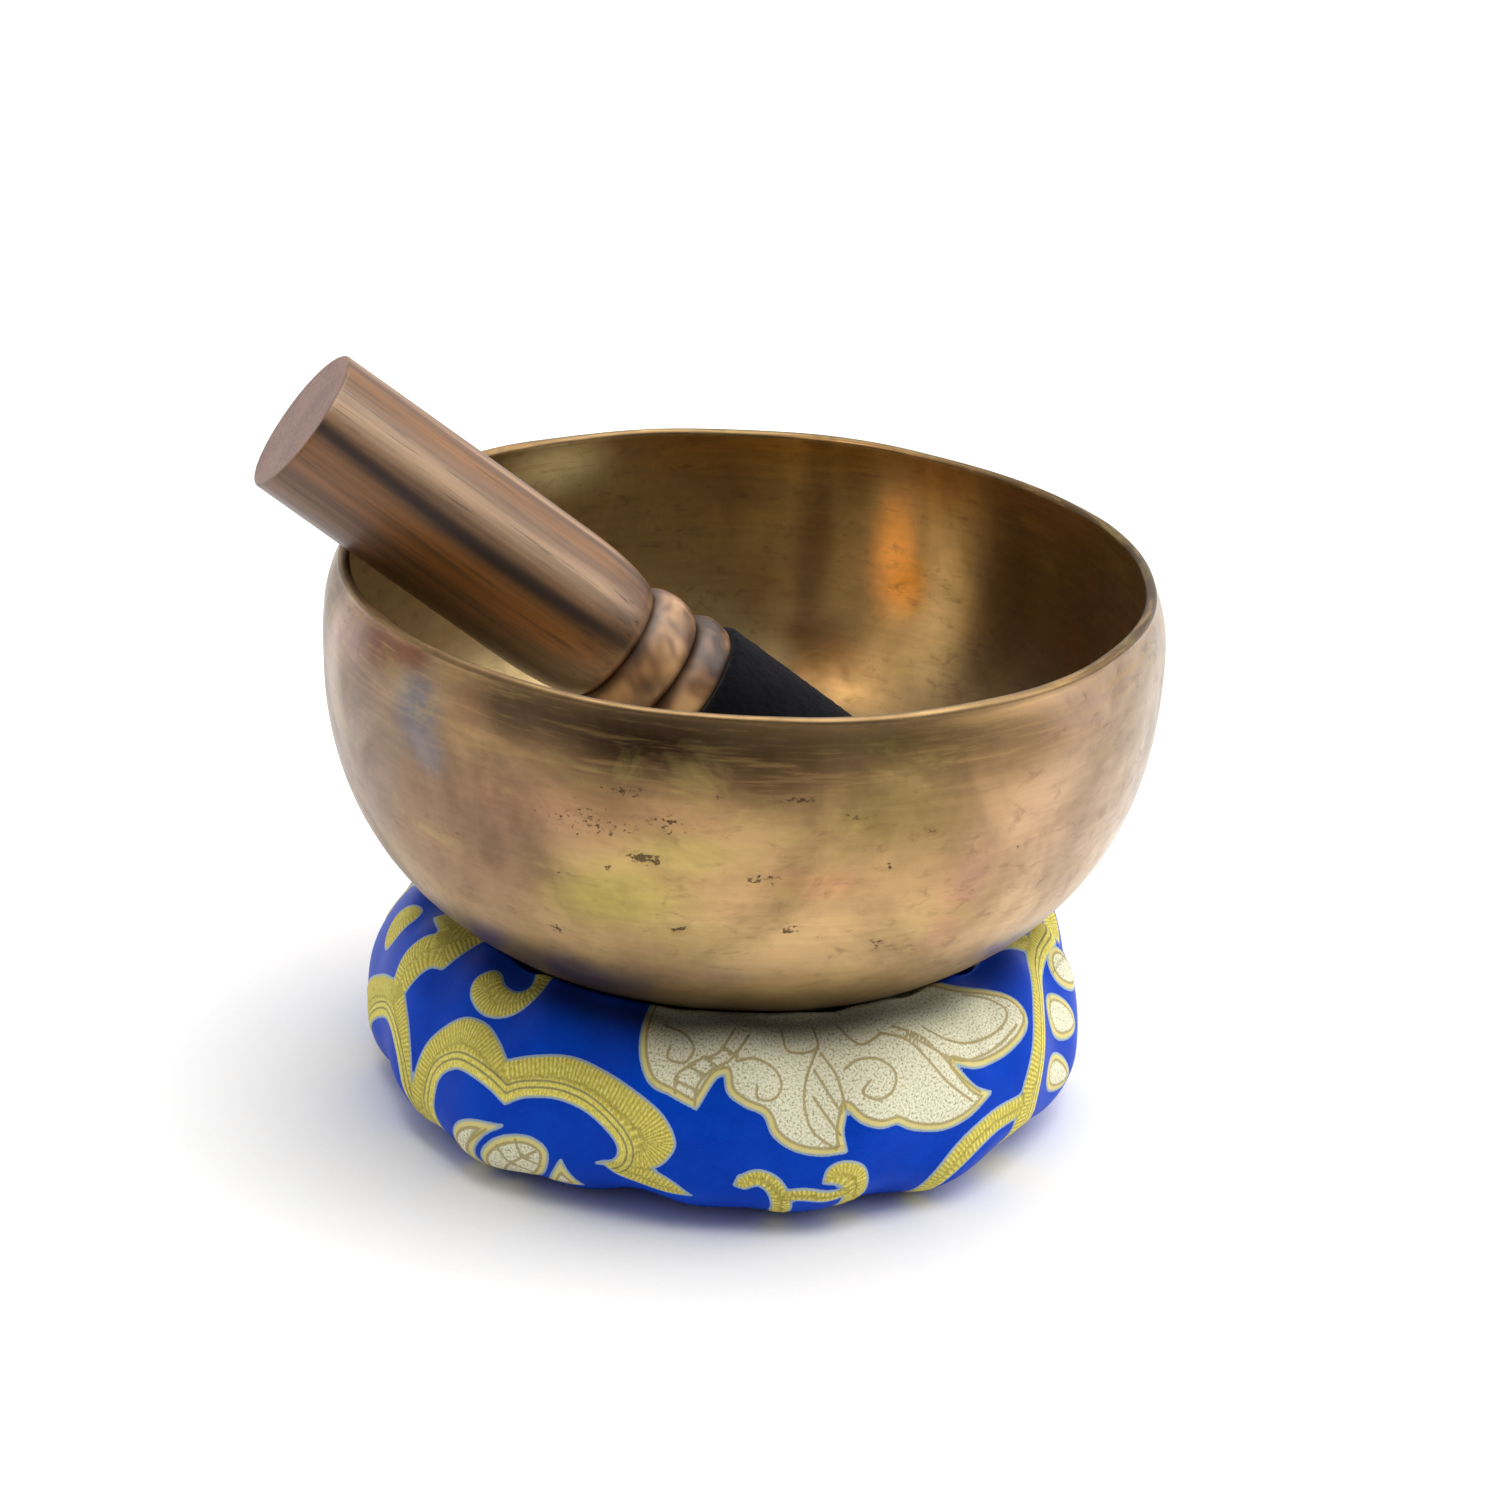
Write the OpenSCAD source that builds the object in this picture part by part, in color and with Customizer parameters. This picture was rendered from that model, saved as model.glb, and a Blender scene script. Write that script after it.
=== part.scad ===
// Singing bowl set: a hammered bronze bowl on a stuffed ring cushion, with a
// turned wooden mallet that leans on the rim and stands in the bowl.
// Millimetres. +Z is up, the origin is on the surface the cushion rests on,
// on the axis that the bowl and the ring share. +Y is the back.

/* [Bowl] */
// Outer radius of the rim
rim_r = 75; // [60:1:90]
// How far the belly stands out past the rim
belly_swell = 2.6; // [0.6:0.1:6]
// Depth of the widest level below the rim
belly_drop = 14; // [8:1:20]
// Height of the bowl from its underside to the rim
bowl_h = 78; // [66:1:84]
// Power of the belly's curve: 2 is an ellipse, and more is squarer
belly_power = 2.43; // [2:0.01:3]
// Thickness of the wall
wall = 2; // [1.6:0.1:3]
// Thickness of the lip
lip = 2.2; // [2:0.1:3.6]

/* [Mallet] */
// Whole length of the mallet
mallet_l = 144; // [120:0.1:145]
// Length of the bare grip
grip_l = 72.5; // [55:0.5:78]
// Radius of the grip at its butt
butt_r = 14.2; // [12.5:0.1:15]
// Radius of the grip where it is fullest
grip_r = 14.4; // [13.5:0.1:16]
// Length of the bead beside the grip
first_bead_l = 10.1; // [8:0.1:13]
// Length of the bead beside the sleeve
second_bead_l = 7; // [6:0.1:12]
// Radius at the bottom of the grooves beside the beads
groove_r = 11.2; // [9:0.1:12.5]
// Radius of the suede sleeve
sleeve_r = 15.1; // [14.5:0.1:16.5]
// Thickness of the suede
suede = 1.8; // [1.2:0.1:2.6]
// Slope of the mallet below the level
mallet_lean = 36.8; // [35:0.1:40]
// Turn of the mallet about the bowl's axis
mallet_yaw = 9.5; // [0:0.1:15]
// Place on the rim where the mallet leans
rest_angle = 184; // [178:1:190]
// Distance from the butt to the place that leans on the rim
rest_from_butt = 21.7; // [15:0.1:30]

/* [Cushion] */
// Outer radius of the ring cushion
cushion_r = 68; // [62:1:76]
// Height of the ring at its crest, where the bowl doesn't press on it
cushion_h = 39.3; // [37:0.1:44]
// How far the bowl's underside lies below the ring's crest
bowl_sink = 13.3; // [9:0.1:16]
// Radius of the ring's crest
crest_r = 44; // [38:1:48]
// Radius of the hole in the middle
hole_r = 19; // [12:1:26]
// Height of the ring's widest level
girth_z = 12; // [9:1:14]
// Inner radius of the flat underside
foot_in_r = 31; // [28:1:36]
// Outer radius of the flat underside
foot_out_r = 51; // [44:1:56]
// Thickness of the brocade cover with its lining
cloth = 1; // [0.6:0.1:1.6]
// Diameter of the sewing thread
thread_d = 0.8; // [0.5:0.1:1.2]

/* [Hidden] */
$fn = 128;

// Air between the bowl and what touches it
gap = 0.3;
// Short straight steps along each curved stretch
steps = 20;

belly_r = rim_r + belly_swell;
bowl_z = cushion_h - bowl_sink;
rim_z = bowl_z + bowl_h;
belly_z = rim_z - belly_drop;
lip_edge = lip / 2;
lip_steps = 8;

sleeve_start = grip_l + first_bead_l + second_bead_l;
core_r = sleeve_r - suede;
shoulder_l = 16;
butt_chamfer = 0.5;
sleeve_taper = 0.4;
first_bead_r = 13.8;
second_bead_r = 14.3;

top_power = 2.16;
foot_power = 1.9;

ring_stitches = 36;
end_stitches = 13;
stitch_span = 4.2;
stitch_rise = 0.7;
stitch_slant = 20;
// Where the end seam's stitches start and stop up the ring's outside, as
// angles of its curve
end_seam = [8, 66];

// Quarter of a superellipse from the side [a, 0] to the top [0, b]
function quarter(a, b, power) =
    [for (i = [0:steps]) let (t = 90 * i / steps)
        [a * pow(cos(t), 2 / power), b * pow(sin(t), 2 / power)]];

function backwards(points) = [for (i = [len(points) - 1:-1:0]) points[i]];

// Section of one face of the bowl's wall, from the middle of the bottom to
// the lip
function bowl_curve(r_belly, r_lip, z_bottom) = concat(
    [for (p = backwards(quarter(r_belly, belly_z - z_bottom, belly_power)))
        [p[0], belly_z - p[1]]],
    [for (i = [1:steps]) let (s = i / steps)
        [r_belly - (r_belly - r_lip) * pow(s, belly_power),
         belly_z + s * (belly_drop - lip_edge)]]);

// Height of the bowl's outside at radius r, below the belly
function underside(r) =
    belly_z - (belly_z - bowl_z) * pow(1 - pow(min(r / belly_r, 1), belly_power), 1 / belly_power);

module bowl() {
    outside = bowl_curve(belly_r, rim_r, bowl_z);
    inside = bowl_curve(belly_r - wall, rim_r - lip, bowl_z + wall);
    rounded_lip = [for (i = [1:lip_steps - 1]) let (t = 180 * i / lip_steps)
        [rim_r - lip_edge + lip_edge * cos(t), rim_z - lip_edge + lip_edge * sin(t)]];
    color("#9c7a4d")
        rotate_extrude()
            polygon(concat(outside, rounded_lip, backwards(inside)));
}

// The mallet is drawn with its butt at the origin and its length along +Z.

// Radius of the grip at distance s from its butt, before its shoulder
function grip_radius(s) = butt_r + (grip_r - butt_r) * sin(90 * s / (grip_l - shoulder_l));

// Grip that swells gently from its butt, then rounds off into the first groove
function grip_curve() = concat(
    [[butt_r - butt_chamfer, 0], [butt_r, butt_chamfer]],
    [for (i = [1:steps]) let (s = (grip_l - shoulder_l) * i / steps) [grip_radius(s), s]],
    [for (i = [1:steps]) let (t = 90 * i / steps)
        [groove_r + (grip_r - groove_r) * cos(t), grip_l - shoulder_l + shoulder_l * sin(t)]]);

// Half-round bead from a groove at height z, which comes back down to end_r
function bead_curve(z, length, radius, end_r) =
    [for (i = [0:steps]) let (t = 180 * i / steps, foot = t < 90 ? groove_r : end_r)
        [foot + (radius - foot) * sin(t), z + length * (1 - cos(t)) / 2]];

// The mallet lies on the lip: where the two cross, its axis is off the lip's
// centre line by both radii and the gap, square to the lip and to itself.
lean_dir = [cos(mallet_lean) * cos(mallet_yaw), cos(mallet_lean) * sin(mallet_yaw), -sin(mallet_lean)];
lip_point = [(rim_r - lip_edge) * cos(rest_angle), (rim_r - lip_edge) * sin(rest_angle), rim_z - lip_edge];
lip_dir = [-sin(rest_angle), cos(rest_angle), 0];
off_raw = cross(lip_dir, lean_dir);
off_dir = off_raw / norm(off_raw);
off_lip = lip_edge + grip_radius(rest_from_butt) + gap;
butt_point = lip_point + off_dir * off_lip - lean_dir * rest_from_butt;

module place_mallet() {
    translate(butt_point)
        rotate([0, 90 + mallet_lean, mallet_yaw])
            children();
}

module mallet_stick() {
    core = [[core_r, mallet_l], [0, mallet_l]];
    color("#6b4426")
        place_mallet()
            rotate_extrude()
                polygon(concat(
                    [[0, 0]],
                    grip_curve(),
                    bead_curve(grip_l, first_bead_l, first_bead_r, groove_r),
                    bead_curve(grip_l + first_bead_l, second_bead_l, second_bead_r, core_r),
                    core));
}

// Suede glued round the core, flush with the mallet's tip, where its edge is
// rounded over
module mallet_sleeve() {
    edge = suede / 2;
    rounded_tip = [for (i = [0:lip_steps]) let (t = 90 * i / lip_steps)
        [sleeve_r - sleeve_taper - edge + edge * cos(t), mallet_l - edge + edge * sin(t)]];
    color("#17161d")
        place_mallet()
            rotate_extrude()
                polygon(concat(
                    [[core_r, sleeve_start], [sleeve_r - edge, sleeve_start], [sleeve_r, sleeve_start + edge]],
                    rounded_tip,
                    [[core_r, mallet_l]]));
}

// The ring's section has four quarters, anticlockwise from the outer edge of
// the flat underside. inset draws it in all round, and the bowl presses it
// down.
function pressed(r, z, inset) = [r, min(z, underside(r) - gap - inset)];

function ring_section(inset) =
    let (up = cushion_h - girth_z - inset, down = girth_z - inset)
    concat(
        [for (p = backwards(quarter(cushion_r - foot_out_r - inset, down, foot_power)))
            [foot_out_r + p[0], girth_z - p[1]]],
        [for (p = quarter(cushion_r - crest_r - inset, up, top_power))
            pressed(crest_r + p[0], girth_z + p[1], inset)],
        [for (p = backwards(quarter(crest_r - hole_r - inset, up, top_power)))
            pressed(crest_r - p[0], girth_z + p[1], inset)],
        [for (p = quarter(foot_in_r - hole_r - inset, down, foot_power))
            [foot_in_r - p[0], girth_z - p[1]]]);

module cushion_cover() {
    color("#0a3fb8")
        rotate_extrude()
            difference() {
                polygon(ring_section(0));
                polygon(ring_section(cloth));
            }
}

module cushion_filling() {
    color("#ece6d8")
        rotate_extrude()
            polygon(ring_section(cloth));
}

// One stitch: a low arch of thread along X, standing on the XY plane
module stitch() {
    arch_r = (pow(stitch_span / 2, 2) + pow(stitch_rise, 2)) / (2 * stitch_rise);
    half_angle = asin(stitch_span / 2 / arch_r);
    translate([0, 0, stitch_rise - arch_r])
        rotate([90, 0, 0])
            rotate([0, 0, 90 - half_angle])
                rotate_extrude(angle = 2 * half_angle)
                    translate([arch_r, 0])
                        circle(d = thread_d);
}

// Slanted stitches round the wall of the hole close the cover over the filling
module ring_seam_stitches() {
    color("#c9a63c")
        for (i = [0:ring_stitches - 1])
            rotate([0, 0, 360 * i / ring_stitches])
                translate([hole_r, 0, girth_z])
                    rotate([0, -90, 0])
                        rotate([0, 0, stitch_slant])
                            stitch();
}

// Stitches up the back, across the line where the ends of the cover meet
module end_seam_stitches() {
    a = cushion_r - crest_r;
    b = cushion_h - girth_z;
    w = 2 / top_power;
    color("#c9a63c")
        for (i = [0:end_stitches - 1])
            let (t = end_seam[0] + (end_seam[1] - end_seam[0]) * i / (end_stitches - 1),
                 tilt = atan2(b * pow(cos(t), 2 - w), a * pow(sin(t), 2 - w)))
            translate([0, crest_r + a * pow(cos(t), w), girth_z + b * pow(sin(t), w)])
                rotate([-tilt, 0, 0])
                    stitch();
}

bowl();
mallet_stick();
mallet_sleeve();
cushion_cover();
cushion_filling();
ring_seam_stitches();
end_seam_stitches();
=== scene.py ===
"""A bronze singing bowl on a brocade ring cushion, with its mallet leaning in the bowl."""

import math

import bpy
import numpy as np
from mathutils import Matrix, Vector


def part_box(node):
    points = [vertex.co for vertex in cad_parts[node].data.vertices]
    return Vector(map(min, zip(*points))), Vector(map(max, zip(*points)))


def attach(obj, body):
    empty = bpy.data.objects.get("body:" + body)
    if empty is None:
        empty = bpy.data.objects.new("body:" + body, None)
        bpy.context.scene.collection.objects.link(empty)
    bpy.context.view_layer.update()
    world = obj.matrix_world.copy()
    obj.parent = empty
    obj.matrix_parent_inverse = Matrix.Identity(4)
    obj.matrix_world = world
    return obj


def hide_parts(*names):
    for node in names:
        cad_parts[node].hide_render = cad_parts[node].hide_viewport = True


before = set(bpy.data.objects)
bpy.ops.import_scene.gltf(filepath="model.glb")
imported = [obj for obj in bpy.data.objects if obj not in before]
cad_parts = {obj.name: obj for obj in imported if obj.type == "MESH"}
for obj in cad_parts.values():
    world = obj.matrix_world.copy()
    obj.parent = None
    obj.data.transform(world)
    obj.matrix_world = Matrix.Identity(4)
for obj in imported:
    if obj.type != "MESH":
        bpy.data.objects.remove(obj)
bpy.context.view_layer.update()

MM = 0.001

# ---------------------------------------------------------------- dimensions
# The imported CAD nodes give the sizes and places, and the rest repeats the part's own dimensions.
BOWL_LOW, BOWL_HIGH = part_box("bowl")
RING_LOW, RING_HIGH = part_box("cushion_cover")
RIM_Z = BOWL_HIGH.z
BOWL_Z = BOWL_LOW.z
BELLY_R = BOWL_HIGH.x
BELLY_Z = RIM_Z - 14 * MM
RIM_R = 75 * MM
BELLY_POWER = 2.43
WALL = 2 * MM
LIP = 2.2 * MM

RING_R = 68 * MM
CREST_R = 44 * MM
CREST_Z = 39.3 * MM
HOLE_R = 19 * MM
GIRTH_Z = 12 * MM
FOOT_IN_R = 31 * MM
FOOT_OUT_R = 51 * MM
TOP_POWER = 2.16
FOOT_POWER = 1.9
CLOTH = 1 * MM
GAP = 0.3 * MM

MALLET_L = 144 * MM
GRIP_L = 72.5 * MM
BUTT_R = 14.2 * MM
GRIP_R = 14.4 * MM
SHOULDER_L = 16 * MM
FIRST_BEAD = (10.1 * MM, 13.8 * MM)
SECOND_BEAD = (7 * MM, 14.3 * MM)
GROOVE_R = 11.2 * MM
SLEEVE_R = 15.1 * MM
SLEEVE_TAPER = 0.4 * MM
SUEDE = 1.8 * MM
CORE_R = SLEEVE_R - SUEDE
SLEEVE_START = GRIP_L + FIRST_BEAD[0] + SECOND_BEAD[0]
LEAN = math.radians(36.8)
YAW = math.radians(9.5)
REST_ANGLE = math.radians(184)
REST_FROM_BUTT = 21.7 * MM


# ---------------------------------------------------------------- curves and meshes
def superellipse(a, b, power, count):
    """Quarter of a superellipse from (a, 0) to (0, b), as an array of points."""
    t = np.linspace(0, math.pi / 2, count)
    return np.stack([a * np.cos(t) ** (2 / power), b * np.sin(t) ** (2 / power)], 1)


def lengths(points):
    """Distance along a line of points, from its start to each point."""
    steps = np.linalg.norm(np.diff(points, axis=0), axis=1)
    return np.concatenate([[0], np.cumsum(steps)])


def resample(points, count):
    """The same line with count points, evenly spaced along it."""
    along = lengths(points)
    even = np.linspace(0, along[-1], count)
    return np.stack([np.interp(even, along, points[:, i]) for i in (0, 1)], 1)


def profile_normals(points, closed=False):
    """Unit normals of a section, on the right-hand side of its direction."""
    if closed:
        slope = np.roll(points, -1, 0) - np.roll(points, 1, 0)
    else:
        slope = np.gradient(points, axis=0)
    normal = np.stack([slope[:, 1], -slope[:, 0]], 1)
    return normal / np.linalg.norm(normal, axis=1, keepdims=True)


def angles(count):
    return np.linspace(0, 2 * math.pi, count, endpoint=False)


def turned(section, turns, push=None, closed=False):
    """Grid of points, rows along the section (r, z) and columns round the Z axis.
    push moves each point along the section's normal."""
    around = angles(turns)
    radius = np.repeat(section[:, :1], turns, 1)
    height = np.repeat(section[:, 1:], turns, 1)
    if push is not None:
        normal = profile_normals(section, closed)
        radius = radius + push * normal[:, :1]
        height = height + push * normal[:, 1:]
    return np.stack([radius * np.cos(around), radius * np.sin(around), height], -1)


def grid_faces(rows, turns, closed=False):
    """Quads of a grid whose columns go round, and whose rows close up too if closed."""
    row = np.arange(rows if closed else rows - 1)[:, None]
    column = np.arange(turns)[None, :]
    next_row, next_column = (row + 1) % rows, (column + 1) % turns
    corners = [row * turns + column, row * turns + next_column,
               next_row * turns + next_column, next_row * turns + column]
    return np.stack([c.ravel() for c in corners], 1).tolist()


def fan(tip, first, turns, outward_first):
    """Triangles from a point on the axis to the ring of points that starts at first."""
    ring = [(first + i, first + (i + 1) % turns) for i in range(turns)]
    return [[tip, b, a] if outward_first else [tip, a, b] for a, b in ring]


def closed_faces(rows, turns):
    """Faces of a turned shape whose ends close on the two points that follow its grid."""
    tips = rows * turns
    return (grid_faces(rows, turns) + fan(tips, 0, turns, True)
            + fan(tips + 1, (rows - 1) * turns, turns, False))


def add_object(name, data):
    made = bpy.data.objects.new(name, data)
    bpy.context.scene.collection.objects.link(made)
    return made


def new_piece(name, points, faces, body, replaced, material):
    """A smooth mesh object that rides on a body and stands for CAD nodes."""
    mesh = bpy.data.meshes.new(name)
    mesh.from_pydata(np.asarray(points, float).reshape(-1, 3).tolist(), [], faces)
    mesh.polygons.foreach_set("use_smooth", np.ones(len(mesh.polygons), bool))
    mesh.materials.append(material)
    mesh.update()
    piece = add_object(name, mesh)
    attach(piece, body)
    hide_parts(*replaced)
    return piece


def store(piece, name, values):
    """Keeps a number, or a vector, for each vertex, for the material to read."""
    values = np.asarray(values, np.float32)
    if values.shape[-1] == 3 and values.size == 3 * len(piece.data.vertices):
        attribute = piece.data.attributes.new(name, "FLOAT_VECTOR", "POINT")
        attribute.data.foreach_set("vector", values.ravel())
    else:
        attribute = piece.data.attributes.new(name, "FLOAT", "POINT")
        attribute.data.foreach_set("value", values.ravel())


def waves(around, along, seed, count, around_range, wavelengths):
    """Smooth noise of about unit size that closes up round the turn."""
    random = np.random.default_rng(seed)
    total = np.zeros(np.broadcast(around, along).shape)
    for _ in range(count):
        turn_rate = random.integers(around_range[0], around_range[1] + 1)
        rate = 2 * math.pi / random.uniform(*wavelengths)
        sign = random.choice([-1, 1])
        total += np.cos(turn_rate * around + sign * rate * along + random.uniform(0, 2 * math.pi))
    return total * math.sqrt(2 / count)


def bell(values, centre, width):
    return np.exp(-((values - centre) / width) ** 2)


def turn_gap(around, centre):
    """Signed turn from centre, in degrees, for angles in radians."""
    return (np.degrees(around) - centre + 180) % 360 - 180


# ---------------------------------------------------------------- material helpers
class Recipe:
    """A material or world under construction. Inputs are named or numbered, and take values or sockets."""

    def __init__(self, name, kind=bpy.data.materials):
        self.made = kind.new(name)
        self.made.use_nodes = True
        self.tree = self.made.node_tree
        self.tree.nodes.clear()

    def node(self, kind, inputs=None, **settings):
        made = self.tree.nodes.new(kind)
        for key, value in settings.items():
            setattr(made, key, value)
        for key, value in (inputs or {}).items():
            if isinstance(value, bpy.types.NodeSocket):
                self.tree.links.new(value, made.inputs[key])
            else:
                made.inputs[key].default_value = value
        return made

    def read(self, name):
        return self.node("ShaderNodeAttribute", attribute_name=name).outputs["Fac"]

    def read_vector(self, name):
        return self.node("ShaderNodeAttribute", attribute_name=name).outputs["Vector"]

    def maths(self, operation, *values):
        return self.node("ShaderNodeMath", dict(enumerate(values)), operation=operation).outputs[0]

    def times(self, first, second):
        return self.maths("MULTIPLY", first, second)

    def plus(self, first, second):
        return self.maths("ADD", first, second)

    def minus(self, first, second):
        return self.maths("SUBTRACT", first, second)

    def unsigned(self, value):
        return self.maths("ABSOLUTE", value)

    def stretch(self, vector, scale):
        made = self.node("ShaderNodeVectorMath", {0: vector, 1: scale}, operation="MULTIPLY")
        return made.outputs[0]

    def noise(self, vector, scale=1.0, detail=3.0, rough=0.5, distort=0.0):
        inputs = {"Vector": vector, "Scale": scale, "Detail": detail, "Roughness": rough,
                  "Distortion": distort}
        return self.node("ShaderNodeTexNoise", inputs).outputs["Fac"]

    def fit(self, value, low, high, to_low=0.0, to_high=1.0):
        """Maps low..high smoothly to to_low..to_high."""
        inputs = {"Value": value, "From Min": low, "From Max": high, "To Min": to_low, "To Max": to_high}
        made = self.node("ShaderNodeMapRange", inputs, interpolation_type="SMOOTHSTEP")
        return made.outputs["Result"]

    def blend(self, amount, first, second, how="MIX"):
        made = self.node("ShaderNodeMix", {0: amount, 6: first, 7: second}, data_type="RGBA",
                         blend_type=how)
        return made.outputs[2]

    def shaded(self, colour, amount):
        """The colour made lighter or darker by a factor."""
        grey = self.node("ShaderNodeCombineColor", {0: amount, 1: amount, 2: amount}).outputs[0]
        return self.blend(1.0, colour, grey, "MULTIPLY")

    def ramp(self, value, stops):
        made = self.node("ShaderNodeValToRGB", {"Fac": value})
        elements = made.color_ramp.elements
        while len(elements) < len(stops):
            elements.new(0.5)
        for element, (place, colour) in zip(elements, stops):
            element.position = place
            element.color = colour
        return made.outputs["Color"]

    def bump(self, height, distance, strength):
        inputs = {"Height": height, "Distance": distance, "Strength": strength}
        return self.node("ShaderNodeBump", inputs).outputs["Normal"]

    def finish(self, **inputs):
        named = {name.replace("_", " "): value for name, value in inputs.items()}
        shader = self.node("ShaderNodeBsdfPrincipled", named)
        self.node("ShaderNodeOutputMaterial", {"Surface": shader.outputs[0]})
        return self.made


def rgb(red, green, blue):
    """A colour given as it looks on a screen, from 0 to 255."""
    return tuple((c / 255 / 12.92) if c <= 10 else ((c / 255 + 0.055) / 1.055) ** 2.4
                 for c in (red, green, blue)) + (1.0,)


# ---------------------------------------------------------------- camera, light, floor
def aimed(place, aim, roll=0.0):
    """The position of a camera or lamp at a place, turned towards its aim and rolled about its view."""
    turn = (Vector(aim) - Vector(place)).to_track_quat("-Z", "Y").to_matrix()
    return Matrix.Translation(place) @ (turn @ Matrix.Rotation(roll, 3, "Z")).to_4x4()


def add_camera():
    elevation, distance, roll = math.radians(20.55), 0.7, math.radians(3.19)
    lens, sensor = 91.47, 36.0
    rim = Vector((0, 0, RIM_Z))
    place = rim + distance * Vector((0, -math.cos(elevation), math.sin(elevation)))
    aim = Vector((2.2 * MM, 0, RIM_Z - 38.3 * MM))
    camera = add_object("camera", bpy.data.cameras.new("camera"))
    camera.data.lens = lens
    camera.data.sensor_width = sensor
    camera.data.clip_start = 0.01
    camera.matrix_world = aimed(place, aim, roll)
    bpy.context.scene.camera = camera


def add_lamp(name, kind, place, aim, power, colour=(1, 1, 1)):
    """A light at a place, turned towards its aim."""
    light = bpy.data.lights.new(name, kind)
    light.energy = power
    light.color = colour
    add_object(name, light).matrix_world = aimed(place, aim)
    return light


def add_softbox(name, place, aim, size, power):
    light = add_lamp(name, "AREA", place, aim, power)
    light.shape = "RECTANGLE"
    light.size, light.size_y = size


def add_spot(name, place, aim, cone, power, colour):
    """A narrow soft spot of light, with its cone in degrees."""
    light = add_lamp(name, "SPOT", place, aim, power, colour)
    light.spot_size = math.radians(cone)
    light.spot_blend = 1.0
    light.shadow_soft_size = 0.01


def add_world():
    """White surroundings, dim towards the camera and a little dim on the left."""
    recipe = Recipe("studio", bpy.data.worlds)
    direction = recipe.node("ShaderNodeTexCoord").outputs["Generated"]
    across, away, _ = recipe.node("ShaderNodeSeparateXYZ", {0: direction}).outputs
    strength = recipe.times(recipe.fit(away, -0.75, -0.05, 0.15, 1.0),
                            recipe.fit(across, -0.9, 0.7, 0.8, 1.1))
    white = recipe.node("ShaderNodeBackground", {"Color": (1, 1, 1, 1), "Strength": strength})
    recipe.node("ShaderNodeOutputWorld", {"Surface": white.outputs[0]})
    bpy.context.scene.world = recipe.made


def add_floor():
    recipe = Recipe("floor_paper")
    place = recipe.node("ShaderNodeTexCoord").outputs["Object"]
    grain = recipe.noise(place, scale=900, detail=2)
    tone = recipe.blend(grain, (0.88, 0.88, 0.88, 1), (0.92, 0.92, 0.92, 1))
    material = recipe.finish(Base_Color=tone, Roughness=0.9)
    mesh = bpy.data.meshes.new("floor")
    half = 4.0
    corners = [(-half, -half, 0), (half, -half, 0), (half, half, 0), (-half, half, 0)]
    mesh.from_pydata(corners, [], [[0, 1, 2, 3]])
    mesh.materials.append(material)
    floor = add_object("floor", mesh)


# ---------------------------------------------------------------- bowl
BOWL_TURNS = 600

BRONZE = (174, 140, 98)
INSIDE_BRONZE = (190, 164, 118)
LIP_BRONZE = (136, 110, 76)
# Tarnish together with painted light (reflections, highlights and shade), as (degrees round, mm along the
# wall from its middle, half width in degrees, half height in mm, colour, strength)
# Painted light outside: the pale patches at -176 and -4 degrees are painted reflections of the white
# surroundings at the sides, the pale band at -90 degrees, 82 mm is a painted floor reflection, and the
# darker patches at -90 degrees, 62 mm and -95 degrees, 51 mm are painted shadow and dark reflection where
# the bowl meets the cushion.
OUTSIDE_TARNISH_AND_PAINTED_LIGHT = [
    (-176, 95, 30, 60, (150, 138, 130), 0.9), (-4, 95, 32, 60, (192, 180, 168), 0.9),
    (-148, 100, 14, 26, (132, 112, 100), 0.8), (-38, 100, 16, 30, (176, 148, 122), 0.7),
    (-90, 82, 60, 12, (206, 172, 120), 0.7), (-90, 62, 70, 12, (150, 124, 80), 0.7),
    (-128, 67, 20, 8, (72, 64, 84), 0.7), (-42, 72, 8, 3.5, (100, 102, 140), 0.5),
    (-95, 51, 62, 7.5, (14, 11, 8), 1.0), (-90, 113, 34, 6, (140, 112, 74), 0.65),
    (-124, 102, 16, 16, (128, 102, 82), 0.75), (-128, 90, 14, 8, (150, 118, 90), 0.65),
    (-118, 108, 9, 6, (150, 112, 88), 0.55), (-104, 110, 10, 5, (160, 122, 88), 0.6),
    (-104, 94, 9, 8, (178, 162, 86), 0.65), (-110, 90, 6, 5, (176, 158, 84), 0.5),
    (-96, 104, 7, 4, (176, 160, 88), 0.5), (-70, 112, 10, 10, (158, 134, 80), 0.6),
    (-79, 99, 6, 3, (188, 138, 98), 0.55), (-59, 88, 3.5, 9, (186, 138, 106), 0.55),
    (-57, 97, 3, 6, (168, 128, 112), 0.5), (-49, 104, 8, 9, (178, 144, 112), 0.55),
    (-102, 122, 15, 7.5, (50, 34, 22), 0.95), (-84, 120.5, 12, 7, (84, 62, 40), 0.85),
    (-119, 124, 9, 5, (104, 80, 62), 0.8), (-66, 124, 10, 5, (116, 92, 52), 0.75),
    (-53, 120, 12, 6, (108, 82, 56), 0.75), (-38, 124, 8, 5, (168, 140, 122), 0.5),
    (-136, 118, 4.5, 8, (116, 114, 122), 0.85), (-133, 111, 3, 4, (134, 128, 134), 0.6),
    (-146, 125, 5, 4, (126, 76, 62), 0.75), (-139, 127, 4, 2.5, (132, 62, 48), 0.6),
    (-156, 122, 7, 7, (172, 140, 134), 0.6), (-127, 123, 3, 4, (150, 112, 84), 0.5)]
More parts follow.
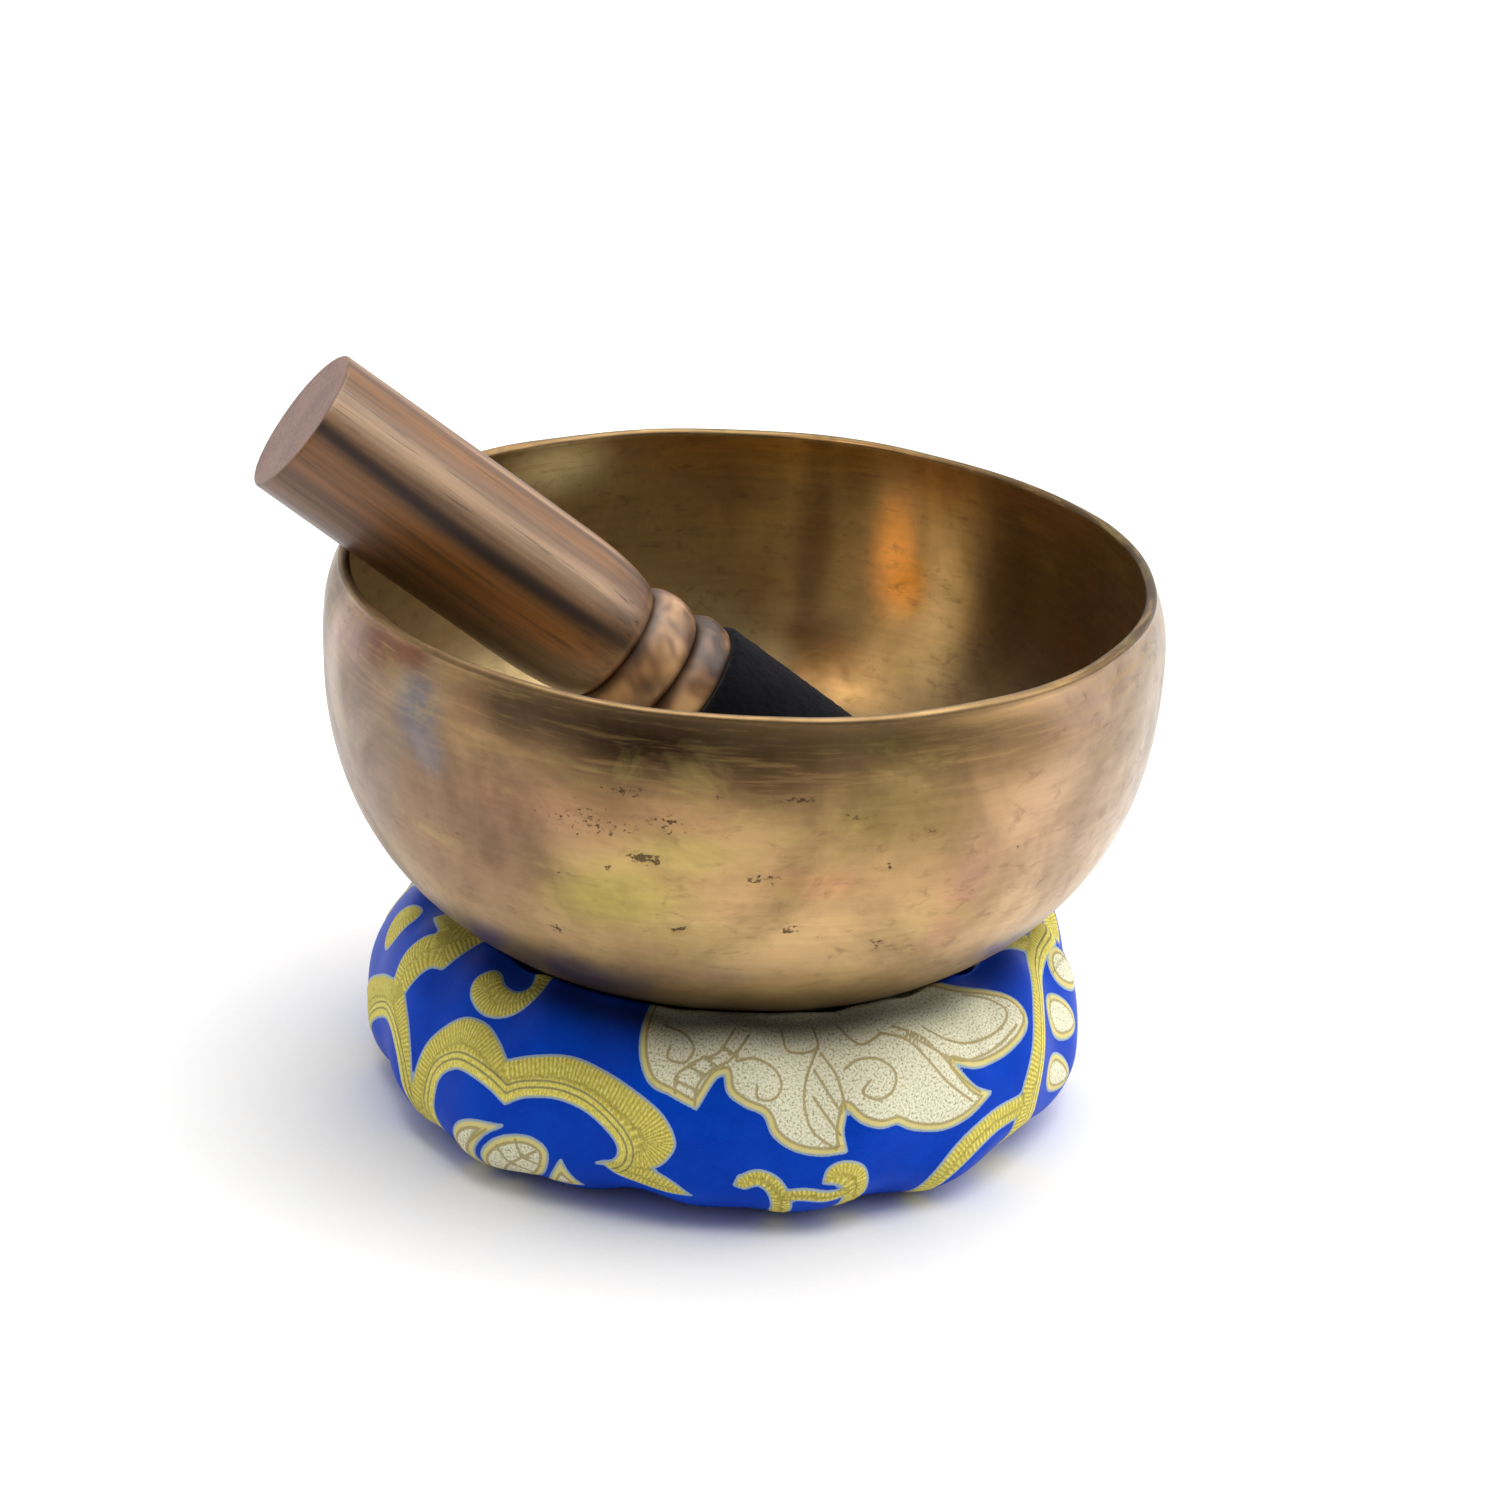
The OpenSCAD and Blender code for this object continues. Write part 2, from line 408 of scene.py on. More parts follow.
# Painted light inside: the pale patch at -90 degrees makes the hidden front wall a painted reflector that
# brightens the back wall; the orange patches at 67 and 64 degrees, the pale ones at 58 and 64 degrees and
# the near-white one at 122 degrees are painted highlights; the dark patch at 77 degrees is painted shade
# over the warm spot's reflection.
INSIDE_TARNISH_AND_PAINTED_LIGHT = [
    (20, 100, 42, 34, (112, 88, 68), 0.9), (170, 105, 50, 40, (170, 146, 106), 0.7),
    (-90, 70, 90, 60, (240, 222, 180), 0.9), (96, 108, 30, 26, (182, 152, 100), 0.6),
    (122, 120, 9, 7, (255, 238, 180), 0.97), (92, 118, 9, 12, (112, 88, 58), 0.6),
    (80, 105, 3, 30, (98, 76, 46), 0.6), (58, 92, 6, 30, (240, 208, 148), 0.9),
    (64, 84, 5, 18, (224, 192, 132), 0.6), (50, 60, 40, 20, (138, 108, 72), 0.8),
    (77, 80, 8, 8, (98, 74, 46), 0.9), (67, 103, 3.8, 12.5, (255, 178, 88), 0.97),
    (64, 96, 3, 6, (255, 170, 60), 0.7), (60, 118, 5, 8, (196, 150, 92), 0.6),
    (45, 102, 5, 20, (120, 92, 62), 0.7), (74, 118, 4, 8, (110, 84, 54), 0.6),
    (88, 90, 5, 8, (176, 142, 84), 0.4), (30, 96, 5, 4, (150, 106, 70), 0.4)]
# The lip's two patches are painted dark reflections, on the right and at the back.
LIP_PAINTED_REFLECTIONS = [(10, 0, 46, 1, (78, 62, 42), 0.9), (85, 0, 34, 1, (112, 90, 62), 0.9)]
# Places inside made less metallic, so that light shows on them diffusely as painted highlights, and pits
# in the outside, both as (degrees round, mm along the wall, half width in degrees, half height in mm,
# strength)
GLOWS = [
    (67, 104, 4, 12, 0.97), (65, 93, 3.5, 7, 0.7), (59, 86, 5.5, 24, 0.5), (121, 121, 10, 7, 0.8),
    (84, 78, 2.5, 2.5, 0.8)]
PITS = [
    (-101, 102.3, 2.6, 1.0, 1.7), (-104, 114.5, 4, 1.2, 0.9), (-98.5, 109.5, 3, 2.6, 0.8),
    (-108, 107.5, 8, 3.2, 0.68), (-115, 107, 5, 3, 0.5), (-82, 115, 3.5, 0.9, 1.1),
    (-92.5, 115.3, 1.2, 0.8, 1.0), (-86.5, 100, 2.4, 1.6, 0.95), (-81.8, 89, 1.8, 1.6, 1.0),
    (-77.5, 87.5, 0.8, 0.7, 1.0), (-69.5, 84, 1.6, 1.8, 1.0), (-114.5, 82.5, 2, 1.6, 0.9),
    (-96.5, 88.3, 2, 1.6, 0.9), (-69.8, 101.8, 0.8, 0.6, 1.2), (-51, 101, 1.2, 0.7, 1.0),
    (-105.8, 99.4, 0.6, 0.5, 1.4), (-75, 112, 2.5, 0.9, 0.9), (-129, 97, 3, 1.6, 0.7),
    (-112, 96, 2, 1.4, 0.5), (-65, 107.5, 1.4, 0.8, 0.9)]


def linear(colour):
    return np.array(rgb(*colour)[:3])


def patch_reach(around, along, place, height, half_turn, half_height):
    """How far out of a patch each point of a grid lies: 0 in its middle, 1 on its edge, squared."""
    sideways = turn_gap(around, place)[None, :] / half_turn
    upwards = (along[:, None] - height * MM) / (half_height * MM)
    return sideways**2 + upwards**2


def painted(base, patches, around, along):
    """Colours on a grid: the base, with soft patches laid over it in turn."""
    colours = np.broadcast_to(linear(base), (len(along), len(around), 3)).copy()
    for *patch, colour, strength in patches:
        amount = (strength * np.exp(-patch_reach(around, along, *patch)**1.5))[..., None]
        colours = colours * (1 - amount) + linear(colour) * amount
    return colours


def marked(spots, around, along):
    """Strength of the strongest spot at each point of a grid."""
    marks = np.zeros((len(along), len(around)))
    for *patch, strength in spots:
        marks = np.maximum(marks, strength * np.exp(-patch_reach(around, along, *patch)))
    return marks


def wall_curve(belly_r, lip_r, bottom, count):
    """One face of the bowl's wall, from the middle of the bottom up to the lip."""
    low = superellipse(belly_r, BELLY_Z - bottom, BELLY_POWER, 400)[::-1] * (1, -1) + (0, BELLY_Z)
    s = np.linspace(0, 1, 60)[1:]
    top = BELLY_Z + s * (RIM_Z - LIP / 2 - BELLY_Z)
    high = np.stack([belly_r - (belly_r - lip_r) * s**BELLY_POWER, top], 1)
    return resample(np.concatenate([low, high]), count)


def hammer_marks(section, around, seed, spacing, depth):
    """Shallow round dents in rings, with a little disorder, as depths on the section's grid."""
    random = np.random.default_rng(seed)
    along = lengths(section)
    marks = np.zeros((len(section), len(around)))
    for ring in np.arange(spacing, along[-1] - 4 * MM, spacing * 0.8):
        ring_r = np.interp(ring, along, section[:, 0])
        count = max(3, round(2 * math.pi * ring_r / spacing))
        for i in range(count):
            turn = 2 * math.pi * (i + random.uniform(-0.3, 0.3)) / count
            place = ring + random.uniform(-0.3, 0.3) * spacing
            size = spacing * random.uniform(0.7, 1.1)
            rows = np.nonzero(np.abs(along - place) < size)[0]
            if not len(rows):
                continue
            gap = (around - turn + math.pi) % (2 * math.pi) - math.pi
            near = np.hypot(gap[None, :] * section[rows, :1], (along[rows] - place)[:, None]) / size
            dent = np.clip(1 - near**2, 0, None) ** 2 * depth * random.uniform(0.4, 1.0)
            marks[rows] = np.maximum(marks[rows], dent)
    return marks


def paint_bowl(bowl, along, first_lip, first_in):
    """Stores what the bronze's material reads. The section's rows are the outside up to first_lip, then the
    lip up to first_in, then the inside, and the two points at the ends of the axis follow."""
    around = angles(BOWL_TURNS)
    outside_along, inside_along = along[:first_lip], along[-1] - along[first_in:]
    flat = (len(along), BOWL_TURNS)
    grid_around, grid_along = np.broadcast_arrays(around[None, :], along[:, None])
    brush = np.stack([BELLY_R * np.cos(grid_around), BELLY_R * np.sin(grid_around), grid_along], -1)
    store(bowl, "brush", np.concatenate([brush.reshape(-1, 3), [[0, 0, 0], [0, 0, along[-1]]]]))
    tint = np.concatenate([painted(BRONZE, OUTSIDE_TARNISH_AND_PAINTED_LIGHT, around, outside_along),
                           painted(LIP_BRONZE, LIP_PAINTED_REFLECTIONS, around, np.zeros(first_in - first_lip)),
                           painted(INSIDE_BRONZE, INSIDE_TARNISH_AND_PAINTED_LIGHT, around, inside_along)])
    store(bowl, "tint", np.concatenate([tint.reshape(-1, 3), [linear(BRONZE), linear(INSIDE_BRONZE)]]))
    pitted, glow = np.zeros(flat), np.zeros(flat)
    pitted[:first_lip] = marked(PITS, around, outside_along)
    # glow marks the painted highlights inside.
    glow[first_in:] = marked(GLOWS, around, inside_along)
    near_rim = np.repeat(bell(along, along[(first_lip + first_in) // 2], 12 * MM), BOWL_TURNS)
    for name, values in (("pitted", pitted), ("glow", glow), ("near_rim", near_rim)):
        store(bowl, name, np.concatenate([values.ravel(), [0, 0]]))


def build_bowl(material):
    outside = wall_curve(BELLY_R, RIM_R, BOWL_Z, 190)[1:]
    inside = wall_curve(BELLY_R - WALL, RIM_R - LIP, BOWL_Z + WALL, 160)[1:][::-1]
    turn = np.linspace(0, math.pi, 14)[1:-1]
    edge = LIP / 2
    lip = np.stack([RIM_R - edge + edge * np.cos(turn), RIM_Z - edge + edge * np.sin(turn)], 1)
    section = np.concatenate([outside, lip, inside])
    around = angles(BOWL_TURNS)
    along = lengths(section)
    first_in = len(outside) + len(lip)
    dents = np.zeros((len(section), BOWL_TURNS))
    dents[:len(outside)] = hammer_marks(outside, around, 3, 9 * MM, 0.09 * MM)
    dents[first_in:] = hammer_marks(inside[::-1], around, 5, 10 * MM, 0.12 * MM)[::-1]
    sway = waves(around[None, :], along[:, None], 7, 24, (2, 9), (60 * MM, 160 * MM))
    points = turned(section, BOWL_TURNS, -dents + 0.05 * MM * sway)
    rim_wave = waves(around, 0 * around, 11, 12, (2, 11), (1, 2))
    near_rim = np.clip((section[:, 1] - BELLY_Z) / (RIM_Z - BELLY_Z), 0, 1)[:, None] ** 2
    points[..., 2] -= near_rim * 0.22 * MM * (1 + np.tanh(rim_wave))[None, :]
    vertices = np.concatenate([points.reshape(-1, 3), [[0, 0, BOWL_Z], [0, 0, BOWL_Z + WALL]]])
    bowl = new_piece("hammered_bowl", vertices, closed_faces(len(section), BOWL_TURNS), "bowl",
                     ["bowl"], material)
    paint_bowl(bowl, along, len(outside), first_in)


def bronze():
    recipe = Recipe("aged_bronze")
    brush = recipe.read_vector("brush")
    tint = recipe.read_vector("tint")
    pitted = recipe.read("pitted")
    near_rim = recipe.read("near_rim")
    clouds = recipe.noise(brush, 40, 5, 0.62, 0.5)
    hues = recipe.noise(recipe.stretch(brush, (1, 1, 1.6)), 55, 4, 0.6, 0.8)
    grime = recipe.noise(recipe.stretch(brush, (1, 1, 2.0)), 190, 6, 0.7, 0.5)
    streaks = recipe.noise(recipe.stretch(brush, (70, 70, 900)), 1, 4, 0.6)
    specks = recipe.noise(recipe.stretch(brush, (1, 1, 1.5)), 900, 5, 0.7)

    shade = recipe.fit(clouds, 0.3, 0.7, 0.70, 1.14)
    colour = recipe.shaded(tint, shade)
    colour = recipe.blend(recipe.fit(hues, 0.52, 0.72, 0.0, 0.16), colour, rgb(168, 126, 96))
    colour = recipe.blend(recipe.fit(hues, 0.46, 0.30, 0.0, 0.25), colour, rgb(178, 160, 92))
    colour = recipe.blend(recipe.fit(grime, 0.52, 0.72, 0.0, 0.45), colour, rgb(112, 82, 62))
    rubbed = recipe.times(recipe.fit(streaks, 0.5, 0.68, 0.0, 0.5), near_rim)
    colour = recipe.blend(rubbed, colour, rgb(176, 142, 92))
    fine = recipe.fit(streaks, 0.35, 0.65, 0.95, 1.03)
    colour = recipe.shaded(colour, fine)
    pit = recipe.plus(specks, recipe.times(pitted, 0.22))
    pit = recipe.times(recipe.fit(pit, 0.70, 0.78), recipe.fit(pitted, 0.01, 0.08))
    colour = recipe.blend(recipe.times(pit, 0.8), colour, rgb(62, 44, 36))
    roughness = recipe.fit(clouds, 0.3, 0.7, 0.46, 0.34)
    height = recipe.minus(recipe.times(streaks, 0.06), pit)
    normal = recipe.bump(height, 0.2 * MM, 0.7)
    # Less metal at the painted highlights, so they catch diffuse light.
    metallic = recipe.minus(1.0, recipe.read("glow"))
    return recipe.finish(Base_Color=colour, Metallic=metallic, Roughness=roughness, Normal=normal)


# ---------------------------------------------------------------- mallet
def mallet_matrix():
    """Places a shape drawn along +Z from the butt where the mallet leans on the rim. Its X axis points
    away from the lip."""
    lean = Vector((math.cos(LEAN) * math.cos(YAW), math.cos(LEAN) * math.sin(YAW), -math.sin(LEAN)))
    along_lip = Vector((-math.sin(REST_ANGLE), math.cos(REST_ANGLE), 0))
    away = along_lip.cross(lean).normalized()
    lip_r = RIM_R - LIP / 2
    touch = Vector((lip_r * math.cos(REST_ANGLE), lip_r * math.sin(REST_ANGLE), RIM_Z - LIP / 2))
    grip_r = BUTT_R + (GRIP_R - BUTT_R) * math.sin(math.pi / 2 * REST_FROM_BUTT / (GRIP_L - SHOULDER_L))
    butt = touch + away * (LIP / 2 + grip_r + GAP) - lean * REST_FROM_BUTT
    turn = Matrix((away, lean.cross(away), lean)).transposed()
    return Matrix.Translation(butt) @ turn.to_4x4()


def place(points, matrix):
    points = np.asarray(points, float)
    return points @ np.array(matrix.to_3x3()).T + np.array(matrix.translation)


def bead_curve(start, size, end_r, count):
    t = np.linspace(0, math.pi, count)
    foot = np.where(t < math.pi / 2, GROOVE_R, end_r)
    radius = foot + (size[1] - foot) * np.sin(t)
    return np.stack([radius, start + size[0] * (1 - np.cos(t)) / 2], 1)


def stick_section():
    chamfer = 0.6 * MM
    turn = np.linspace(-math.pi / 2, 0, 6)
    edge = np.stack([BUTT_R - chamfer + chamfer * np.cos(turn), chamfer + chamfer * np.sin(turn)], 1)
    cap = np.stack([np.linspace(0.4 * MM, BUTT_R - chamfer, 26)[:-1], np.zeros(25)], 1)
    s = np.linspace(0, 1, 90)[1:]
    swell = chamfer + s * (GRIP_L - SHOULDER_L - chamfer)
    grip = np.stack([BUTT_R + (GRIP_R - BUTT_R) * np.sin(math.pi / 2 * s), swell], 1)
    t = np.linspace(0, math.pi / 2, 26)[1:]
    shoulder = np.stack([GROOVE_R + (GRIP_R - GROOVE_R) * np.cos(t),
                         GRIP_L - SHOULDER_L + SHOULDER_L * np.sin(t)], 1)
    first = bead_curve(GRIP_L, FIRST_BEAD, GROOVE_R, 30)[1:]
    second = bead_curve(GRIP_L + FIRST_BEAD[0], SECOND_BEAD, CORE_R, 28)[1:]
    core = resample(np.array([[CORE_R, SLEEVE_START], [CORE_R, MALLET_L]]), 40)
    tip = np.stack([np.linspace(CORE_R, 0.4 * MM, 20)[1:], np.full(19, MALLET_L)], 1)
    return np.concatenate([cap, edge, grip, shoulder, first, second, core, tip])


def wood_tone_and_painted_light(local):
    """Colour of the wood before its grain, from paler and darker streaks that run along it, with painted
    light:
    a painted sheen and a painted dark reflection along the top, painted shade underneath and at the
    shoulder, and painted floor light near the butt.
    """
    turn = np.degrees(np.arctan2(local[:, 1], local[:, 0]))
    along = local[:, 2]
    colour = np.broadcast_to(linear((112, 76, 42)), (len(local), 3)).copy()
    drift = -5 * np.sin(along / (24 * MM))
    # Streaks, as (degrees round, half width in degrees, colour, strength). The pale one at 46 is a painted
    # sheen, the dark one at 69 a painted dark reflection and the dark one at 138 painted shade underneath.
    streaks = [(46, 15, (168, 136, 104), 0.95), (29, 5, (108, 74, 46), 0.85), (16, 7, (138, 92, 50), 0.85),
               (4, 4, (92, 58, 34), 0.8), (-5, 5, (166, 126, 88), 0.7), (-16, 6, (104, 68, 40), 0.7),
               (95, 15, (136, 84, 30), 0.95), (58, 4, (122, 88, 62), 0.6), (69, 6, (42, 27, 25), 0.97),
               (108, 3, (84, 50, 20), 0.6), (138, 26, (52, 30, 14), 0.9), (205, 22, (140, 94, 54), 0.7),
               (240, 8, (56, 36, 28), 0.8), (285, 26, (132, 84, 42), 0.7)]
    for centre, width, tone, strength in streaks:
        gap = (turn + drift - centre + 180) % 360 - 180
        amount = strength * np.exp(-np.abs(gap / width) ** 2.6)[:, None]
        colour = colour * (1 - amount) + linear(tone) * amount
    # Painted shade round the rounded shoulder at the end of the grip.
    shoulder = np.clip((along - 60 * MM) / (10 * MM), 0, 1)[:, None] * 0.6
    colour = colour * (1 - shoulder) + linear((84, 54, 36)) * shoulder
    # Painted light from the floor on the lower side near the butt.
    painted_floor_light = bell(turn, 126, 36) * np.clip(1 - along / (34 * MM), 0, 1)
    colour += painted_floor_light[:, None] * 0.8 * (linear((128, 92, 66)) - colour)
    return colour


def build_stick(material, matrix):
    turns = 200
    section = stick_section()
    local = turned(section, turns).reshape(-1, 3)
    local = np.concatenate([local, [[0, 0, 0], [0, 0, MALLET_L]]])
    stick = new_piece("turned_stick", place(local, matrix), closed_faces(len(section), turns), "mallet",
                      ["mallet_stick"], material)
    store(stick, "grain", local)
    store(stick, "tint", wood_tone_and_painted_light(local))
    beads = np.clip((local[:, 2] - GRIP_L + 2 * MM) / (3 * MM), 0, 1)
    store(stick, "bead", beads)
    # groove holds painted shade in the grooves beside the beads.
    grooves = [GRIP_L, GRIP_L + FIRST_BEAD[0], SLEEVE_START]
    store(stick, "groove", sum(bell(local[:, 2], groove, 1.5 * MM) for groove in grooves))
    ends = (local[:, 2] < 0.1 * MM) | (local[:, 2] > MALLET_L - 0.1 * MM)
    store(stick, "end_grain", ends.astype(float))


def wood():
    recipe = Recipe("oiled_wood")
    grain = recipe.read_vector("grain")
    tint = recipe.read_vector("tint")
    bead = recipe.read("bead")
    end_grain = recipe.read("end_grain")
    fibres = recipe.noise(recipe.stretch(grain, (900, 900, 26)), 1, 4, 0.6)
    figure = recipe.noise(recipe.stretch(grain, (260, 260, 9)), 1, 3, 0.55, 0.3)
    pores = recipe.noise(recipe.stretch(grain, (1500, 1500, 55)), 1, 2, 0.5)
    mottle = recipe.noise(grain, 110, 2, 0.5, 0.3)

    shade = recipe.times(recipe.fit(figure, 0.32, 0.7, 1.2, 0.66),
                         recipe.fit(fibres, 0.3, 0.7, 1.12, 0.8))
    colour = recipe.shaded(tint, shade)
    dark_pores = recipe.fit(pores, 0.6, 0.68, 0.0, 0.5)
    colour = recipe.blend(dark_pores, colour, rgb(48, 30, 20))
    pale = recipe.ramp(mottle, [(0.32, rgb(70, 48, 34)), (0.43, rgb(126, 92, 62)),
                                (0.54, rgb(178, 138, 98)), (0.7, rgb(214, 178, 134))])
    # Painted shade darkens the grooves beside the beads.
    pale = recipe.blend(recipe.times(recipe.read("groove"), 0.85), pale, rgb(44, 28, 20))
    colour = recipe.blend(bead, colour, pale)
    cap = recipe.blend(recipe.fit(mottle, 0.3, 0.7), rgb(108, 72, 56), rgb(130, 92, 74))
    colour = recipe.blend(end_grain, colour, cap)
    roughness = recipe.fit(fibres, 0.3, 0.7, 0.38, 0.5)
    normal = recipe.bump(fibres, 0.05 * MM, 0.4)
    return recipe.finish(Base_Color=colour, Roughness=roughness, Normal=normal,
                         Coat_Weight=0.1, Coat_Roughness=0.25)


# Turn at which the edges of the suede meet, in degrees from the side away from the lip
SLEEVE_SEAM = 225


def build_sleeve(material, matrix):
    turns = 200
    edge = SUEDE / 2
    quarter = np.linspace(0, math.pi / 2, 8)
    start = np.stack([SLEEVE_R - edge + edge * np.sin(quarter),
                      SLEEVE_START + edge - edge * np.cos(quarter)], 1)
    end = np.stack([SLEEVE_R - SLEEVE_TAPER - edge + edge * np.cos(quarter),
                    MALLET_L - edge + edge * np.sin(quarter)], 1)
    side = resample(np.array([start[-1], end[0]]), 60)[1:-1]
    inner = resample(np.array([[CORE_R, MALLET_L], [CORE_R, SLEEVE_START]]), 30)
    section = np.concatenate([start, side, end, inner])
    around = angles(turns)
    along = lengths(section)[:, None]
    nap = waves(around[None, :], along, 21, 60, (6, 60), (2 * MM, 9 * MM)) * 0.05 * MM
    seam = -0.5 * MM * bell(turn_gap(around, SLEEVE_SEAM), 0, math.degrees(0.03))
    push = (nap + seam[None, :]) * (section[:, :1] > CORE_R + 0.3 * MM)
    local = turned(section, turns, push).reshape(-1, 3)
    faces = grid_faces(len(section), turns, closed=True)
    sleeve = new_piece("suede_sleeve", place(local, matrix), faces, "mallet",
                       ["mallet_sleeve"], material)
    store(sleeve, "grain", local)


def suede():
    recipe = Recipe("black_suede")
    grain = recipe.read_vector("grain")
    nap = recipe.noise(grain, 1800, 3, 0.6)
    cloud = recipe.noise(grain, 160, 3, 0.6)
    tone = recipe.plus(recipe.times(nap, 0.5), recipe.times(cloud, 0.5))
    colour = recipe.ramp(tone, [(0.35, rgb(4, 4, 7)), (0.6, rgb(17, 16, 22))])
    normal = recipe.bump(nap, 0.2 * MM, 0.7)
    return recipe.finish(Base_Color=colour, Roughness=0.95, Normal=normal, Sheen_Weight=0.06,
                         Sheen_Roughness=0.5, Specular_IOR_Level=0.05)


# ---------------------------------------------------------------- cushion
RING_TURNS = 720
RING_ROWS = 228
SEAM_STITCHES = 36
END_STITCHES = 13
SETTLE_FRAMES = 20
SETTLE_CAP = 1.5 * MM
RELIEF = 0.22 * MM
RIB_SPACING = 0.9 * MM
STITCH_HALF = 2 * MM
STITCH_RISE = 0.7 * MM


def underside(radius):
    """Height of the bowl's outside at a radius, below its belly."""
    reach = np.clip(radius / BELLY_R, 0, 1) ** BELLY_POWER
    return BELLY_Z - (BELLY_Z - BOWL_Z) * (1 - reach) ** (1 / BELLY_POWER)


def ring_section(inset, count):
    """Closed section of the ring cushion, from the outer edge of its foot up, over and back."""
    up, down = CREST_Z - GIRTH_Z - inset, GIRTH_Z - inset
    low_out = superellipse(RING_R - FOOT_OUT_R - inset, down, FOOT_POWER, 300)[::-1] * (1, -1)
    top_out = superellipse(RING_R - CREST_R - inset, up, TOP_POWER, 300)
    top_in = superellipse(CREST_R - HOLE_R - inset, up, TOP_POWER, 300)[::-1] * (-1, 1)
    low_in = superellipse(FOOT_IN_R - HOLE_R - inset, down, FOOT_POWER, 300) * (-1, -1)
    quarters = [low_out[:-1] + (FOOT_OUT_R, GIRTH_Z), top_out[:-1] + (CREST_R, GIRTH_Z),
                top_in[:-1] + (CREST_R, GIRTH_Z), low_in + (FOOT_IN_R, GIRTH_Z)]
    section = np.concatenate(quarters + [[[FOOT_OUT_R, inset]]])
    section[:, 1] = np.minimum(section[:, 1], underside(section[:, 0]) - GAP - inset)
    return resample(section, count + 1)[:-1]


# The brocade's pattern is drawn in degrees round the ring and millimetres up its side, from the outer
# edge of the foot. It repeats every half turn, and mirrors over the crest. A shape is a list of runs, each
# a smooth line through its points, with a corner where one run ends and the next starts.
TILE = 180
FOLD = 55


def between(a, b, c, d, t):
    """A smooth curve through four points or rows in turn, at t from 0 at b to 1 at c."""
    return 0.5 * (2 * b + (c - a) * t + (2 * a - 5 * b + 4 * c - d) * t**2
                  + (3 * b - a - 3 * c + d) * t**3)


def smooth(points, steps=8):
    """Smooth line through a few points."""
    points = np.asarray(points, float)
    if len(points) < 3:
        return np.linspace(points[0], points[-1], steps + 1)
    ends = np.concatenate([[2 * points[0] - points[1]], points, [2 * points[-1] - points[-2]]])
    t = np.linspace(0, 1, steps, endpoint=False)[:, None]
    line = [between(a, b, c, d, t) for a, b, c, d in zip(ends, ends[1:], ends[2:], ends[3:])]
    return np.concatenate(line + [points[-1:]])


# One degree and one millimetre of the pattern, in metres on the cloth
ON_CLOTH = np.array([math.radians(1) * RING_R, MM])


def on_cloth(line):
    return line * ON_CLOTH


def ribbon(points, width, end_width=None):
    """Runs round a band along a centre line, with its width in millimetres."""
    centre = on_cloth(smooth(points))
    ahead = np.gradient(centre, axis=0)
    ahead /= np.linalg.norm(ahead, axis=1, keepdims=True)
    half = np.linspace(width, end_width or width, len(centre))[:, None] * MM / 2
    aside = half * np.stack([-ahead[:, 1], ahead[:, 0]], 1)
    start, end = centre[:1] - half[0] * ahead[0], centre[-1:] + half[-1] * ahead[-1]
    return [np.concatenate([start, centre + aside, end, (centre - aside)[::-1]]) / ON_CLOTH]


def oval(x, y, length, width, slant):
    """Run round an oval leaf, with its size in millimetres and its slant in degrees."""
    t = np.linspace(0, 2 * math.pi, 24, endpoint=False)
    along, across = length / 2 * np.cos(t), width / 2 * np.sin(t) * (1 - 0.25 * np.cos(t))
    lean = math.radians(slant)
    drawn = np.stack([along * math.cos(lean) - across * math.sin(lean),
                      along * math.sin(lean) + across * math.cos(lean)], 1) * MM
    return [(x, y) + drawn / ON_CLOTH]


TREFOIL_OUTER = [
    [(-147, 16), (-145, 24), (-143, 33), (-138, 39.5), (-133, 41), (-128.5, 39), (-125.5, 36.8)],
    [(-125.5, 36.8), (-121, 39.2), (-115, 41), (-109, 40), (-103, 37.5), (-98.5, 34), (-96.4, 29),
    (-98, 25), (-100.5, 23)]]
TREFOIL_INNER = [
    [(-108.5, 22.6), (-105.5, 24), (-105, 27), (-107, 30), (-111, 32.5), (-116, 33.2), (-121, 31.8),
    (-124, 29.5)], [(-124, 29.5), (-127, 31.2), (-131, 32), (-135, 31.5), (-138.5, 28), (-139.5, 22),
    (-139, 16)]]
TREFOIL_LEAF = [
    [(-107.5, 23.2), (-102, 24), (-97, 21.5), (-93.5, 18)], [(-93.5, 18), (-99, 17.5), (-104, 19.5),
    (-107.5, 23.2)]]
LEFT_BAND = [
    [(-182, 20), (-176, 26.5), (-170, 31), (-165, 34), (-160, 36)], [(-160, 36), (-160.3, 41),
    (-158.5, 46), (-156.5, 49), (-163, 49.5)], [(-163, 49.5), (-160, 52.5), (-154, 54), (-149, 60)],
    [(-145, 60), (-147.5, 52), (-149, 45)], [(-149, 45), (-152, 43), (-154, 36.5)], [(-154, 36.5),
    (-149.5, 33), (-146.5, 28), (-145, 22), (-143, 14)], [(-145, 14), (-149, 24), (-153, 28),
    (-158, 28.7), (-163, 26.5), (-168, 22.5), (-172, 16)]]
HOOK = [
    [(-127, 60), (-125.7, 52), (-127, 47.5), (-130, 44), (-134, 42.5), (-138, 44), (-139.6, 47),
    (-138, 50), (-136, 50.3), (-134, 49), (-131, 49), (-129, 51), (-130, 54), (-134, 60)]]
CURL = ribbon([(-86, 22), (-83.5, 23.2), (-81, 21.5), (-79.6, 17), (-79.5, 10)], 2.8, 3.6)
CURL_LINK = ribbon([(-80, 19.6), (-76.5, 20.2), (-72.5, 19.4), (-69, 20)], 2.4)
CURL_TWIN = [
    [(-73.8, 22.5), (-73, 25), (-70.5, 26), (-67.5, 24.5), (-66.3, 20), (-65.5, 10)], [(-70, 10),
    (-70, 18), (-71, 21.5), (-73.8, 22.5)]]
RIGHT_ARC = ribbon([(-54, 10), (-53, 18), (-49, 23), (-43, 25.6), (-36, 26)], 4.4)
